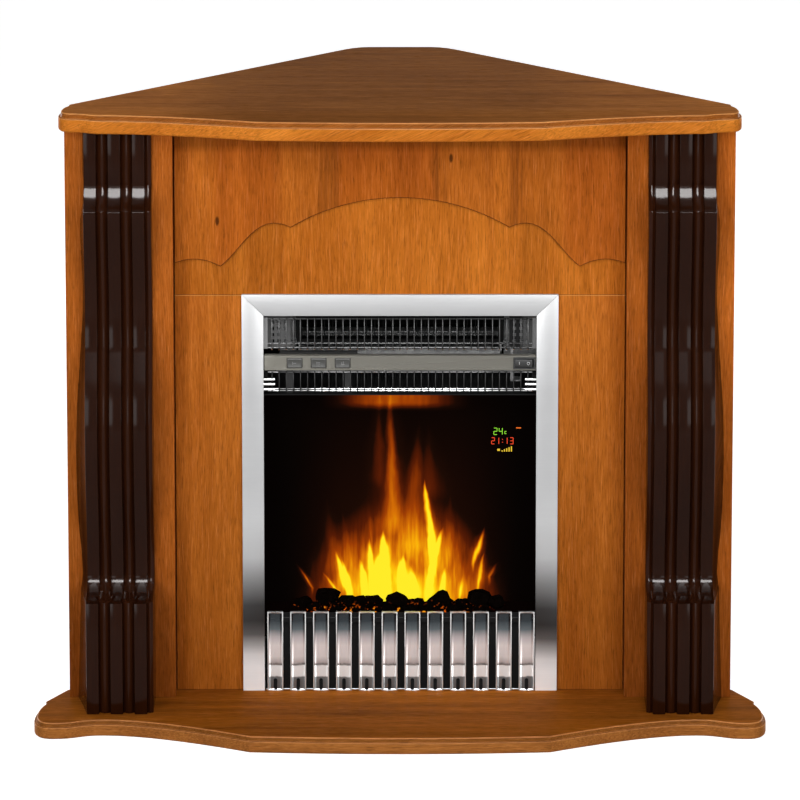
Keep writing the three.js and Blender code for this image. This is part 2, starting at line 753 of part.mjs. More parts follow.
buttonPlaces.forEach((x, i) => {
  const front = stripFace - buttonProud;
  const cap = shapeOf([
    [-buttonWide / 2, front + 0.8],
    [-buttonWide / 2 + 0.8, front],
    [buttonWide / 2 - 0.8, front],
    [buttonWide / 2, front + 0.8],
    [buttonWide / 2, front + buttonLong],
    [-buttonWide / 2, front + buttonLong],
  ].map(([u, v]) => [x + u, v]));
  add(buttonNames[i], raisePlan(cap, stripMid - buttonTall / 2, stripMid + buttonTall / 2),
    finishes.greyPlastic());
});

// micro-switch block behind the buttons, held on the heater floor
const heaterFloor = dividerAt + sheet + fit;
const blockFront = stripFace - buttonProud + buttonLong + buttonTravel + fit;
const blockAcross = [blockFront, blockFront + 10];
const blockX = [buttonPlaces[0] - buttonWide, buttonPlaces[2] + buttonWide];
add('switch_block',
  join(
    block(blockX, blockAcross, [stripLow - 2, stripHigh + 2]),
    block([blockX[0] + 10, blockX[0] + 20], blockAcross, [heaterFloor, stripLow]),
    block([blockX[1] - 20, blockX[1] - 10], blockAcross, [heaterFloor, stripLow])),
  finishes.blackPlastic());

// rocker housing: a rim in front of the strip and a box behind it
const bezelBody = block(
  [-bezelHalfWide, bezelHalfWide],
  [stripFace - 0.6, stripFace + bezelLong],
  [-bezelHalfTall, bezelHalfTall]);
const bezelFlange = block(
  [-bezelInsideWide / 2 - bezelRim, bezelInsideWide / 2 + bezelRim],
  [stripFace - fit - 1.2, stripFace - fit],
  [-bezelInsideTall / 2 - bezelRim, bezelInsideTall / 2 + bezelRim]);
const bezelHollow = block(
  [-bezelInsideWide / 2, bezelInsideWide / 2],
  [stripFace - 3, stripFace + bezelLong - bezelWall],
  [-bezelInsideTall / 2, bezelInsideTall / 2]);
add('rocker_housing',
  cut(join(bezelBody, bezelFlange), bezelHollow).translate(rockerAcross, 0, stripMid),
  finishes.blackPlastic());

// the rocker turns about an upright pin; it rests with its left half pressed in
const rockerPivot = stripFace + rockerThick - 2;
const rockerRise = Math.tan(THREE.MathUtils.degToRad(rockerAngle)) * rockerWide / 2;
const rockerPlan = shapeOf([
  [0, -rockerThick + 1],
  [rockerWide / 2, -rockerThick + 1 - rockerRise],
  [rockerWide / 2 - 0.4, -rockerThick + 3],
  [rockerWide / 4, 1.5],
  [-rockerWide / 4, 1.5],
  [-rockerWide / 2 + 0.4, -rockerThick + 3],
  [-rockerWide / 2, -rockerThick + 1 - rockerRise],
].reverse());
const rocker = add('power_rocker',
  raisePlan(rockerPlan, -rockerTall / 2, rockerTall / 2), finishes.blackPlastic());
rocker.position.set(rockerAcross, rockerPivot, stripMid);
rocker.rotation.z = THREE.MathUtils.degToRad(-rockerAngle);

// ---------------------------------------------------------------- heater and fan

const heaterZ = upperGuardAt + heaterLift;
const heaterHalf = caseHalf - heaterInset;
const heaterFrame = cut(
  block([-heaterHalf, heaterHalf], [heaterAt, heaterAt + heaterDepth], [heaterZ, heaterZ + heaterTall]),
  block([-heaterHalf + 8, heaterHalf - 8], [heaterAt - 1, heaterAt + heaterDepth + 1],
    [heaterZ + 5, heaterZ + heaterTall - 5]));
const fins = [];
const finLast = Math.floor((heaterHalf - 12) / finPitch);
for (let i = -finLast; i <= finLast; i++) {
  fins.push(block([i * finPitch - finThick / 2, i * finPitch + finThick / 2],
    [heaterAt + 3, heaterAt + heaterDepth - 3], [heaterZ + 3, heaterZ + heaterTall - 3]));
}
const heaterHangers = bothSides.map(([, sign]) => {
  const [x0, x1] = [sign * (heaterHalf - 14), sign * (heaterHalf - 2)].sort((a, b) => a - b);
  return block([x0, x1], [heaterAt + 4, heaterAt + 8], [heaterZ + heaterTall - 1, caseTopAt - sheet - fit]);
});
add('heating_element', join(heaterFrame, ...fins, ...heaterHangers), finishes.zinc());

const fanAt = caseBackAt - fanFromBack;
const fanZ = dividerAt + fanAbove;
const fanHalf = caseHalf - fanInset;
const shaftEnd = inWalls - 4;
const fanDisc = (x0, x1) => roundAcross(fanRadius, x0, x1, 0, 0, 16);
const blade = (turn) =>
  new THREE.BoxGeometry(2 * fanHalf - 2, 8, 1.6)
    .rotateX(THREE.MathUtils.degToRad(35))
    .translate(0, fanRadius - 5, 0)
    .rotateX(turn);
const blades = Array.from({ length: fanBlades }, (_, i) => blade((i * 2 * Math.PI) / fanBlades));
const fanRotor = add('fan_rotor',
  join(
    fanDisc(-fanHalf, -fanHalf + 2.5),
    fanDisc(fanHalf - 2.5, fanHalf),
    roundAcross(shaftRadius, -shaftEnd, shaftEnd, 0, 0, 8),
    ...blades),
  finishes.zinc());
fanRotor.position.set(0, fanAt, fanZ);

// scroll of the fan: an arc round the rotor that runs out into the floor of the warm air duct
const scrollIn = fanRadius + fanHousingGap;
const scrollOut = scrollIn + sheet;
const scroll = new THREE.Shape();
scroll.moveTo(fanAt - scrollOut + 34, fanZ + scrollOut);
scroll.absarc(fanAt, fanZ, scrollOut, Math.PI / 2, -Math.PI * 0.72, true);
scroll.lineTo(fanAt + scrollIn * Math.cos(-Math.PI * 0.72), fanZ + scrollIn * Math.sin(-Math.PI * 0.72));
scroll.absarc(fanAt, fanZ, scrollIn, -Math.PI * 0.72, Math.PI / 2, false);
scroll.lineTo(heaterAt + heaterDepth + 2, caseTopAt - sheet - fit - 4);
scroll.lineTo(heaterAt + heaterDepth + 2, caseTopAt - fit - sheet);
scroll.lineTo(fanAt, caseTopAt - fit - sheet);
add('fan_housing', runAcross(scroll, -fanHalf - 4, fanHalf + 4, 14), finishes.zinc());

// motor at the left end, bearing bracket at the right end, both on the heater floor
const motorX = -inWalls + 1;
const motorBody = turned([
  [shaftRadius + 0.5, 0],
  [fanMotorRadius - 3, 0],
  [fanMotorRadius, 3],
  [fanMotorRadius, fanMotorLong - 3],
  [fanMotorRadius - 3, fanMotorLong],
  [shaftRadius + 0.5, fanMotorLong],
  [shaftRadius + 0.5, 0],
], 20).rotateZ(-Math.PI / 2).translate(motorX, fanAt, fanZ);
const motorStand = cut(
  block([motorX + 6, motorX + fanMotorLong - 6], [fanAt - 16, fanAt + 16], [heaterFloor, fanZ - 4]),
  roundAcross(fanMotorRadius - 2, motorX, motorX + fanMotorLong, fanAt, fanZ, 20));
add('fan_motor', join(motorBody, motorStand), finishes.blackSteel());

const bearingPlate = (x, y, z, foot, bore, wide) => cut(
  join(
    block([x, x + 4], [y - wide / 2, y + wide / 2], [foot, z + wide / 2]),
    block([x, x + 16], [y - wide / 2, y + wide / 2], [foot, foot + sheet])),
  roundAcross(bore, x - 1, x + 5, y, z, 12));
add('fan_bearing',
  bearingPlate(fanHalf + 14, fanAt, fanZ, heaterFloor, shaftRadius + 0.5, 26), finishes.zinc());

// ---------------------------------------------------------------- flame screen and display

const screenLow = hearthTop + screenFrom;
const screenHigh = dividerAt - fit;
add('flame_screen',
  block([-inWalls, inWalls], [screenAt, screenAt + screenThick], [screenLow, screenHigh]), finishes.screen());

const displayAcross = trimInner - displayInset;
const displayZ = dividerAt - displayBelow;
const displayFace = screenAt + screenThick + fit;
const displayRear = displayFace + displayThick;
const plugHalf = { wide: 10, tall: 6, deep: 6 }; // its socket behind
add('display_module',
  join(
    block([displayAcross - displayWide / 2, displayAcross + displayWide / 2],
      [displayFace, displayRear], [displayZ - displayTall / 2, displayZ + displayTall / 2]),
    block([displayAcross - plugHalf.wide, displayAcross + plugHalf.wide],
      [displayRear - 1, displayRear + plugHalf.deep], [displayZ - plugHalf.tall, displayZ + plugHalf.tall])),
  finishes.blackPlastic());

// ---------------------------------------------------------------- fret

const fretHigh = hearthTop + fretTall;
const fretHalf = trimInner - fretGap;
const fretPitch = (2 * fretHalf - fretBarWide) / (fretBars - 1);
const barFace = trimFace + 1;
// a bar's section from above: raised rims with a hollow between them
const barSection = (x) => {
  const half = fretBarWide / 2;
  const back = barFace + fretBarDeep;
  return shapeOf([
    [-half, back],
    [-half, barFace + 1],
    [-half + 1, barFace],
    [-half + 2.6, barFace + 0.6],
    [-half * 0.5, barFace + 3.4],
    [0, barFace + 4.2],
    [half * 0.5, barFace + 3.4],
    [half - 2.6, barFace + 0.6],
    [half - 1, barFace],
    [half, barFace + 1],
    [half, back],
  ].map(([u, v]) => [x + u, v]));
};
const bars = Array.from({ length: fretBars }, (_, i) =>
  raisePlan(barSection((i - (fretBars - 1) / 2) * fretPitch), standAt, fretHigh));
const railFront = barFace + fretBarDeep - 1;
const fretRails = [[standAt, standAt + 14], [fretHigh - 18, fretHigh - 10]].map((heights) =>
  block([-fretHalf + 1, fretHalf - 1], [railFront, railFront + fretRail], heights));
add('fret', join(...bars, ...fretRails), finishes.chrome());

const fretBackAt = railFront + fretRail + fit;
add('fret_back',
  block([-fretHalf, fretHalf], [fretBackAt, fretBackAt + fretBackThick], [standAt, fretHigh - 3]),
  finishes.blackPlastic());

// ---------------------------------------------------------------- ember tray and coals

const trayFront = fretBackAt + fretBackThick + fit;
const trayBack = screenAt - fit;
const trayZ = hearthTop + trayFrontHeight;
const trayShape = shapeOf([
  [trayFront, trayZ - traySkirt],
  [trayFront + trayThick, trayZ - traySkirt],
  [trayFront + trayThick, trayZ - trayThick],
  [trayBack, trayZ + trayRise - trayThick],
  [trayBack, trayZ + trayRise],
  [trayFront, trayZ],
]);
add('ember_tray', runAcross(trayShape, -inWalls, inWalls), finishes.ember());

// lumps from left to right: place across, width and height of the top above the hearth
const coals = [
  { across: -146, wide: 38, top: 149 },
  { across: -111, wide: 40, top: 161 },
  { across: -84, wide: 26, top: 152 },
  { across: -64, wide: 26, top: 147 },
  { across: -40, wide: 32, top: 150 },
  { across: -9, wide: 38, top: 153 },
  { across: 27, wide: 42, top: 143 },
  { across: 65, wide: 40, top: 158 },
  { across: 95, wide: 30, top: 143 },
  { across: 121, wide: 32, top: 160 },
  { across: 147, wide: 30, top: 150 },
];
const trayTopAt = (y) => trayZ + (trayRise * (y - trayFront)) / (trayBack - trayFront);
const lump = ({ across, wide, top }, i) => {
  const y = coalAt + (i % 2 ? 3 : -3);
  const low = trayTopAt(y) - 4;
  const half = (hearthTop + top - low) / 2;
  const ball = new THREE.SphereGeometry(1, 7, 5);
  const rough = mergeVertices(ball.deleteAttribute('normal').deleteAttribute('uv'));
  const places = rough.attributes.position;
  for (let k = 0; k < places.count; k++) {
    const wobble = 1 - 0.14 * Math.abs(Math.sin(7.3 * k + 2.1 * i));
    places.setXYZ(k, places.getX(k) * wobble, places.getY(k) * wobble, places.getZ(k));
  }
  return rough.scale(wide / 2 + 2, 15, half).rotateZ(0.4 * i).translate(across, y, low + half);
};
const underCoals = runAcross(
  shapeOf([
    [trayFront - 20, trayZ - 40],
    [trayBack + 20, trayZ - 40],
    [trayBack + 20, trayTopAt(trayBack + 20) + fit],
    [trayFront - 20, trayTopAt(trayFront - 20) + fit],
  ]), -caseHalf, caseHalf);
const frontOfCoals = block([-caseHalf, caseHalf], [trayFront - 30, trayFront + 1], [trayZ, trayZ + 80]);
const behindCoals = block([-caseHalf, caseHalf], [trayBack - fit, trayBack + 30],
  [trayZ, trayZ + 80]);
// the lumps are moulded on one low bar of slag
const slagBar = block([coals[0].across, coals[coals.length - 1].across], [coalAt - 8, coalAt + 8],
  [trayZ, trayZ + trayRise + 6]);
add('coal_lumps',
  cut(join(slagBar, ...coals.map(lump)), underCoals, frontOfCoals, behindCoals), finishes.coal());

// ---------------------------------------------------------------- flicker gear and lamps

const spindleAt = fanAt;
const spindleZ = hearthTop + spindleHeight;
const spindleHalf = caseHalf - spindleInset;
const vanes = [];
for (let i = 0; i < vaneCount; i++) {
  const x = (i - (vaneCount - 1) / 2) * vanePitch;
  vanes.push(new THREE.BoxGeometry(14, 2 * vaneRadius, 0.8)
    .rotateZ(0.35)
    .rotateX((i * Math.PI) / 3)
    .translate(x, 0, 0));
}
const spindleEnd = inWalls - 8;
const spindle = add('flicker_spindle',
  join(roundAcross(shaftRadius, -spindleHalf, spindleHalf, 0, 0, 8),
    roundAcross(shaftRadius - 1, -spindleEnd, spindleEnd, 0, 0, 8),
    ...vanes),
  finishes.chrome());
spindle.position.set(0, spindleAt, spindleZ);

const lowFloor = standAt + sheet + fit;
const flickerX = inWalls - flickerMotorLong - fit;
const flickerBody = turned([
  [shaftRadius - 0.5, 0],
  [flickerMotorRadius, 0],
  [flickerMotorRadius, flickerMotorLong],
  [shaftRadius - 0.5, flickerMotorLong],
  [shaftRadius - 0.5, 0],
], 18).rotateZ(-Math.PI / 2).translate(flickerX, spindleAt, spindleZ);
const flickerStand = cut(
  block([flickerX + 4, flickerX + 14], [spindleAt - 12, spindleAt + 12], [lowFloor, spindleZ - 2]),
  roundAcross(flickerMotorRadius - 2, flickerX, flickerX + flickerMotorLong, spindleAt, spindleZ, 18));
add('flicker_motor', join(flickerBody, flickerStand), finishes.zinc());
add('spindle_bearing',
  bearingPlate(-spindleEnd + 4, spindleAt, spindleZ, lowFloor, shaftRadius - 0.5, 20),
  finishes.blackPlastic());

const ledHalf = caseHalf - ledInset;
const domes = [];
const domeLast = Math.floor((ledHalf - 8) / ledPitch);
for (let i = -domeLast; i <= domeLast; i++) {
  domes.push(new THREE.CylinderGeometry(ledDome * 0.6, ledDome, ledDome, 7)
    .rotateX(Math.PI / 2)
    .translate(i * ledPitch, ledAt, lowFloor + sheet + ledDome / 2 - 0.2));
}
add('led_strip',
  join(block([-ledHalf, ledHalf], [ledAt - ledWide / 2, ledAt + ledWide / 2], [lowFloor, lowFloor + sheet]),
    ...domes),
  finishes.board());

// ---------------------------------------------------------------- wiring parts on the rear cover

const boardBack = caseBackAt;
const boardZ = dividerAt - boardBelow;
const relays = [-70, -40, -10].map((x) =>
  block([x - 10, x + 10], [boardBack - 17, boardBack - 5], [boardZ + 20, boardZ + 46]));
const capacitor = new THREE.CylinderGeometry(9, 9, 14, 14).translate(-115, boardBack - 11, boardZ + 70);
add('control_board',
  join(
    block([-140, 20], [boardBack - 6, boardBack - 4.4], [boardZ, boardZ + 100]),
    ...[[-132, 8], [12, 8], [-132, 92], [12, 92]].map(([x, z]) =>
      new THREE.CylinderGeometry(3, 3, 5, 8).translate(x, boardBack - 2.5, boardZ + z)),
    ...relays, capacitor),
  finishes.board());

add('thermal_cutout',
  new THREE.CylinderGeometry(8, 8, 9, 16).translate(120, caseBackAt - 4.5, dividerAt + cutoutAbove),
  finishes.blackPlastic());
add('terminal_block',
  join(block([80, 118], [caseBackAt - 16, caseBackAt], [glandZ - 10, glandZ + 10]),
    block([74, 124], [caseBackAt - 4, caseBackAt], [glandZ - 6, glandZ + 6])),
  finishes.greyPlastic());

// cable inlet in the rear cover: a flange inside the collar and the bore that the cable takes
const glandBase = caseBackAt + fit + sheet + fit;
add('cable_gland',
  turned([
    [glandBore, 0],
    [glandRadius, 0],
    [glandRadius, 4],
    [glandRadius - 3, 5],
    [glandRadius - 4, glandLong],
    [glandBore, glandLong],
    [glandBore, 0],
  ], 18).translate(glandAcross, glandBase, glandZ),
  finishes.blackPlastic());

// ---------------------------------------------------------------- origin

fireplace.position.y = (hearthFront - cornerFlat) / 2;

export default fireplace;
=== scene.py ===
# The looks of a corner fireplace: veneered surround, dark wavy mouldings, and an electric fire
# with a silver frame, a chrome fret, coals and a flame screen. Metres, +Z up, front towards -Y.
import math

import bpy
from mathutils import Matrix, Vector


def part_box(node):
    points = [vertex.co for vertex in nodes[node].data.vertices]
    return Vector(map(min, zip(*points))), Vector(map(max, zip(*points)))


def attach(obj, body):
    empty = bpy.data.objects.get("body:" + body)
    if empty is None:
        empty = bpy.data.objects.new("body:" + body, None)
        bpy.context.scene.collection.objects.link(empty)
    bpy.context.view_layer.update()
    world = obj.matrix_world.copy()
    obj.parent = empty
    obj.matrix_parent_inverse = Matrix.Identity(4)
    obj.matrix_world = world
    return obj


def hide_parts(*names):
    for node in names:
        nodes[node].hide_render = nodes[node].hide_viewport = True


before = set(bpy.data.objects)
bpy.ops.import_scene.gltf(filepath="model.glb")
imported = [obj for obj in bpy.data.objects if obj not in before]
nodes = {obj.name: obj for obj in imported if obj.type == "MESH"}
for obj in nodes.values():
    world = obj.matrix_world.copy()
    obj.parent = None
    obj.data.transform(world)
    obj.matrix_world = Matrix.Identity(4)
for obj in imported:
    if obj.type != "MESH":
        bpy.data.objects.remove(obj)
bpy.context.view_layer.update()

BODY = "fireplace"

# ---------------------------------------------------------------- camera and studio

CAMERA_AT = (0.0, -12.088, 3.5184)
CAMERA_TILT = math.radians(75.843)
CAMERA_LENS = 359.76

FLOOR_HALF = 9.0
FLOOR_GREY = 0.60
FLOOR_LIFT = 0.80  # what the floor adds for the camera, so that it is white away from the shadow
SKY_FILL = 0.32  # the sky's share of the light


def place_camera():
    data = bpy.data.cameras.new("front_camera")
    data.lens = CAMERA_LENS
    data.clip_end = 100.0
    camera = bpy.data.objects.new("front_camera", data)
    camera.location = CAMERA_AT
    camera.rotation_euler = (CAMERA_TILT, 0.0, 0.0)
    bpy.context.scene.collection.objects.link(camera)
    bpy.context.scene.camera = camera


place_camera()


# ---------------------------------------------------------------- shader helpers


class Flow:
    """A number that varies over a surface: Python arithmetic on it adds Math nodes."""

    def __init__(self, finish, socket):
        self.finish = finish
        self.socket = socket

    def maths(self, operation, *others):
        inputs = dict(enumerate((self, *others)))
        return self.finish.node("ShaderNodeMath", {"operation": operation}, inputs)

    def __add__(self, other):
        return self.maths("ADD", other)

    __radd__ = __add__

    def __mul__(self, other):
        return self.maths("MULTIPLY", other)

    __rmul__ = __mul__

    def __sub__(self, other):
        return self.maths("SUBTRACT", other)

    def __rsub__(self, other):
        return (self * -1.0) + other

    def __truediv__(self, other):
        return self.maths("DIVIDE", other)

    def size(self):
        """Its distance from 0."""
        return self.maths("ABSOLUTE")

    def most(self, other):
        return self.maths("MAXIMUM", other)

    def least(self, other):
        return self.maths("MINIMUM", other)

    def held(self):
        """Limited to 0..1."""
        return self.most(0.0).least(1.0)

    def step(self, low, high):
        """A smooth step from 0 at low to 1 at high."""
        return self.finish.node(
            "ShaderNodeMapRange",
            {"interpolation_type": "SMOOTHSTEP", "clamp": True},
            {"Value": self, "From Min": low, "From Max": high},
        )

    def band(self, middle, half, soft):
        """1 within half of the middle, falling to 0 over a soft edge."""
        return 1.0 - (self - middle).size().step(half, half + soft)


class Finish:
    """A named surface finish and its shader nodes."""

    def __init__(self, name, **settings):
        self.material = bpy.data.materials.new(name)
        self.material.use_nodes = True
        self.tree = self.material.node_tree
        self.shader = self.tree.nodes["Principled BSDF"]
        self.surface = self.tree.nodes["Material Output"].inputs["Surface"]
        self.look(**settings)

    def feed(self, socket, value):
        if isinstance(value, Flow):
            self.tree.links.new(value.socket, socket)
        else:
            socket.default_value = value

    def look(self, **settings):
        """Sets or links the shader's sockets; an underscore stands for a space."""
        for name, value in settings.items():
            words = {"specular": "Specular IOR Level"}.get(name, name.replace("_", " ").title())
            self.feed(self.shader.inputs[words], value)
        return self

    def node(self, kind, settings=None, inputs=None, output=0):
        made = self.tree.nodes.new(kind)
        for name, value in (settings or {}).items():
            if name == "stops":
                self.set_stops(made.color_ramp, value)
            else:
                setattr(made, name, value)
        for socket, value in (inputs or {}).items():
            self.feed(made.inputs[socket], value)
        return Flow(self, made.outputs[output])

    @staticmethod
    def set_stops(ramp, stops):
        while len(ramp.elements) < len(stops):
            ramp.elements.new(1.0)
        for element, (position, colour) in zip(ramp.elements, stops):
            element.position = position
            element.color = colour

    def place(self):
        return self.node("ShaderNodeTexCoord", output="Object")

    def axes(self, place=None):
        """The x, y and z of a place on the surface."""
        split = self.node("ShaderNodeSeparateXYZ", inputs={0: place or self.place()})
        return [Flow(self, output) for output in split.socket.node.outputs]

    def joined(self, x, y, z):
        return self.node("ShaderNodeCombineXYZ", inputs={0: x, 1: y, 2: z})

    def turned(self, place, angles):
        return self.node("ShaderNodeMapping", inputs={"Vector": place, "Rotation": angles})

    def stretched(self, place, scale):
        return self.node("ShaderNodeVectorMath", {"operation": "MULTIPLY"}, {0: place, 1: scale})

    def noise(self, place, scale=1.0, detail=2.0, roughness=0.5):
        inputs = {"Vector": place, "Scale": scale, "Detail": detail, "Roughness": roughness}
        return self.node("ShaderNodeTexNoise", inputs=inputs)

    def grain(self, scale, detail=2.0, roughness=0.5):
        """Noise drawn out along the axes: scale is in cycles per metre."""
        return self.noise(self.stretched(self.place(), scale), 1.0, detail, roughness)

    def cells(self, scale):
        """A random number for each cell of a cell pattern."""
        picture = {"Vector": self.place(), "Scale": scale}
        return self.axes(self.node("ShaderNodeTexVoronoi", {"feature": "F1"}, picture, output=1))[0]

    def ramp(self, value, stops):
        """Colours along a value from 0 to 1: stops are (value, colour)."""
        return self.node("ShaderNodeValToRGB", {"stops": stops}, {0: value})

    def along(self, value, stops):
        """Greys along a length: stops are (place, level) in the value's own units."""
        first, last = stops[0][0], stops[-1][0]
        share = (value - first) / (last - first)
        greys = [((at - first) / (last - first), (level, level, level, 1.0)) for at, level in stops]
        return self.ramp(share, greys)

    def mixed(self, share, first, second, blend="MIX"):
        return self.node(
            "ShaderNodeMix",
            {"data_type": "RGBA", "blend_type": blend, "clamp_factor": True},
            {0: share, 6: first, 7: second},
            output=2,
        )

    def dimmed(self, colour, level):
        """A colour times a number."""
        if not isinstance(level, Flow):
            level = (level, level, level, 1.0)
        return self.mixed(1.0, colour, level, "MULTIPLY")

    def colour_so_far(self):
        return Flow(self, self.shader.inputs["Base Color"].links[0].from_socket)

    def bumped(self, height, strength, depth):
        normal = self.node(
            "ShaderNodeBump",
            inputs={"Strength": strength, "Distance": depth, "Height": height},
        )
        return self.look(normal=normal)


def tone(red, green, blue):
    """A colour as it shows on a screen, 0 to 255, made linear."""

    def linear(level):
        share = level / 255
        return share / 12.92 if share <= 0.04045 else ((share + 0.055) / 1.055) ** 2.4

    return (linear(red), linear(green), linear(blue), 1.0)


def grey(level):
    return tone(level, level, level)


def highest(flows):
    """The highest of several numbers at each place."""
    flows = list(flows)
    top = flows[0]
    for flow in flows[1:]:
        top = top.most(flow)
    return top


# ---------------------------------------------------------------- floor, sky and lamps


def seen_or_mirrored(finish):
    """1 for rays from the camera and for those that mirror or pass through."""
    path = finish.node("ShaderNodeLightPath").socket.node.outputs
    seen = Flow(finish, path["Is Camera Ray"])
    mirrored = Flow(finish, path["Is Glossy Ray"])
    passed = Flow(finish, path["Is Transmission Ray"])
    return seen.most(mirrored).most(passed)


def lay_floor():
    bpy.ops.mesh.primitive_plane_add(size=2 * FLOOR_HALF, location=(0.0, 0.0, 0.0))
    floor = bpy.context.object
    floor.name = "studio_floor"
    paint = Finish("pale_floor", roughness=0.9, specular=0.0)
    paint.look(base_color=grey(255 * FLOOR_GREY ** (1 / 2.2)), emission_color=(1.0, 1.0, 1.0, 1.0))
    paint.look(emission_strength=seen_or_mirrored(paint) * FLOOR_LIFT)
    floor.data.materials.append(paint.material)


def light_sky():
    world = bpy.data.worlds.new("studio_sky")
    world.use_nodes = True
    bpy.context.scene.world = world
    tree = world.node_tree
    background = tree.nodes["Background"]
    background.inputs["Color"].default_value = (1.0, 1.0, 1.0, 1.0)
    path = tree.nodes.new("ShaderNodeLightPath")
    level = None
    for ray in ("Is Camera Ray", "Is Glossy Ray", "Is Transmission Ray"):
        most = tree.nodes.new("ShaderNodeMath")
        most.operation = "MAXIMUM"
        tree.links.new(path.outputs[ray], most.inputs[0])
        most.inputs[1].default_value = SKY_FILL
        if level is not None:
            tree.links.new(level, most.inputs[1])
        level = most.outputs[0]
    tree.links.new(level, background.inputs["Strength"])


def hang_lamp(name, at, towards, wide, tall, watts, glints_only=False):
    data = bpy.data.lights.new(name, "AREA")
    data.shape = "RECTANGLE"
    data.size = wide
    data.size_y = tall
    data.energy = watts
    lamp = bpy.data.objects.new(name, data)
    lamp.visible_diffuse = not glints_only
    lamp.location = at
    lamp.rotation_euler = (Vector(towards) - Vector(at)).to_track_quat("-Z", "Y").to_euler()
    bpy.context.scene.collection.objects.link(lamp)


bpy.context.scene.view_settings.view_transform = "Standard"
lay_floor()
light_sky()
hang_lamp("softbox_above", (-0.3, -2.8, 2.6), (0.0, 0.0, 0.5), 3.2, 1.2, 34.0)
hang_lamp("fill_left", (-2.2, -4.4, 1.3), (0.0, 0.0, 0.6), 1.8, 1.6, 62.0)
hang_lamp("fill_right", (2.2, -4.4, 1.3), (0.0, 0.0, 0.6), 1.8, 1.6, 56.0)
hang_lamp("fill_rear_left", (-2.6, 3.0, 0.8), (0.0, 0.0, 0.5), 1.4, 0.5, 52.0)
hang_lamp("fill_rear_right", (2.6, 3.0, 0.8), (0.0, 0.0, 0.5), 1.4, 0.5, 52.0)
hang_lamp("lacquer_glint", (0.0, -1.6, 3.3), (0.0, -0.15, 0.6), 3.5, 1.5, 1300.0, glints_only=True)

# ---------------------------------------------------------------- woods

# how the grain's layers lie, in cycles per metre across and along the grain
FIGURE_SCALE = (34.0, 34.0, 2.2)
FIBRE_SCALE = (560.0, 560.0, 26.0)
PORE_SCALE = (600.0, 600.0, 52.0)
MOTTLE_SCALE = (10.0, 10.0, 4.0)

PALE_FIBRE = tone(224, 170, 118)
TURNS = {"Z": (0.0, 0.0, 0.0), "X": (0.0, math.pi / 2, 0.0)}


def veneer(name, light, dark, run="Z", slant=0.0, pore=0.3, leaves_and_sheen=(), painted_shade=(), gloss=0.012):
    """Open-grained veneer. light and dark are its tones and run is the grain's axis. Its levels across
    (across, level) are those of its leaves and of painted sheen, and its levels by height (height,
    level) from the floor up are painted shade."""
    wood = Finish(name, specular=gloss)
    about = (TURNS[run][0], TURNS[run][1] + slant, 0.0)
    grain = wood.turned(wood.place(), about)
    sway = wood.noise(wood.stretched(grain, (7.0, 7.0, 1.6)), detail=2.0) - 0.5
    across, deep, lengthwise = wood.axes(grain)
    bent = wood.joined(across + sway * 0.02, deep, lengthwise)
    figure = wood.noise(wood.stretched(bent, FIGURE_SCALE), detail=5.0, roughness=0.62)
    fibre = wood.noise(wood.stretched(bent, FIBRE_SCALE), detail=3.0, roughness=0.7)
    specks = wood.noise(wood.stretched(bent, PORE_SCALE), detail=2.0, roughness=0.6)
    mottle = wood.noise(wood.stretched(grain, MOTTLE_SCALE), detail=2.0)
    pores = specks.step(0.5, 0.7)
    ripple = ((figure - 0.5) * 2.0 + (mottle - 0.5) * 1.0 + 0.46).held()
    colour = wood.mixed(ripple, light, dark)
    colour = wood.mixed(fibre.step(0.5, 0.85) * 0.16, colour, PALE_FIBRE)
    level = 1.04 + (fibre - 0.5) * 1.1 - pores * pore
    side, _, height = wood.axes()
    # levels across: the tones of the veneer's leaves, and on the top a painted sheen
    if leaves_and_sheen:
        level = level * wood.along(side, leaves_and_sheen)
    # painted shade by height, darker where less light would fall
    if painted_shade:
        level = level * wood.along(height, painted_shade)
    colour = wood.dimmed(colour, level)
    wood.look(base_color=colour, roughness=0.38 + (fibre - 0.5) * 0.14 + pores * 0.2)
    wood.bumped(fibre * 0.4 - pores, 0.22, 0.0002)
    return wood


# painted shadow: a darker line across the top of the fascia, under the mantel's overhang
MANTEL_PAINTED_SHADOW = ((0.6, 1.0), (0.884, 1.0), (0.896, 0.62), (0.93, 0.5))
# painted shade: darker towards the floor, standing in for the light falling off lower down
FLOOR_PAINTED_SHADE = ((0.0, 0.68), (0.2, 0.78), (0.45, 0.91), (0.66, 1.0), (0.93, 1.0))

panel_wood = veneer("honey_veneer", tone(196, 112, 37), tone(160, 84, 23), painted_shade=FLOOR_PAINTED_SHADE)
arch_wood = veneer(
    "honey_veneer_arch",
    tone(200, 115, 36),
    tone(168, 90, 24),
    leaves_and_sheen=(
        (-0.35, 0.92),
        (-0.181, 0.92),
        (-0.179, 1.04),
        (0.1, 1.02),
        (0.186, 1.02),
        (0.188, 0.88),
        (0.225, 0.90),
        (0.228, 1.0),
        (0.35, 1.0),
    ),
)
post_wood = veneer(
    "russet_veneer",
    tone(177, 95, 31),
    tone(139, 69, 18),
    painted_shade=FLOOR_PAINTED_SHADE,
    leaves_and_sheen=((-0.53, 1.0), (0.486, 1.0), (0.488, 1.3), (0.53, 1.3)),
)
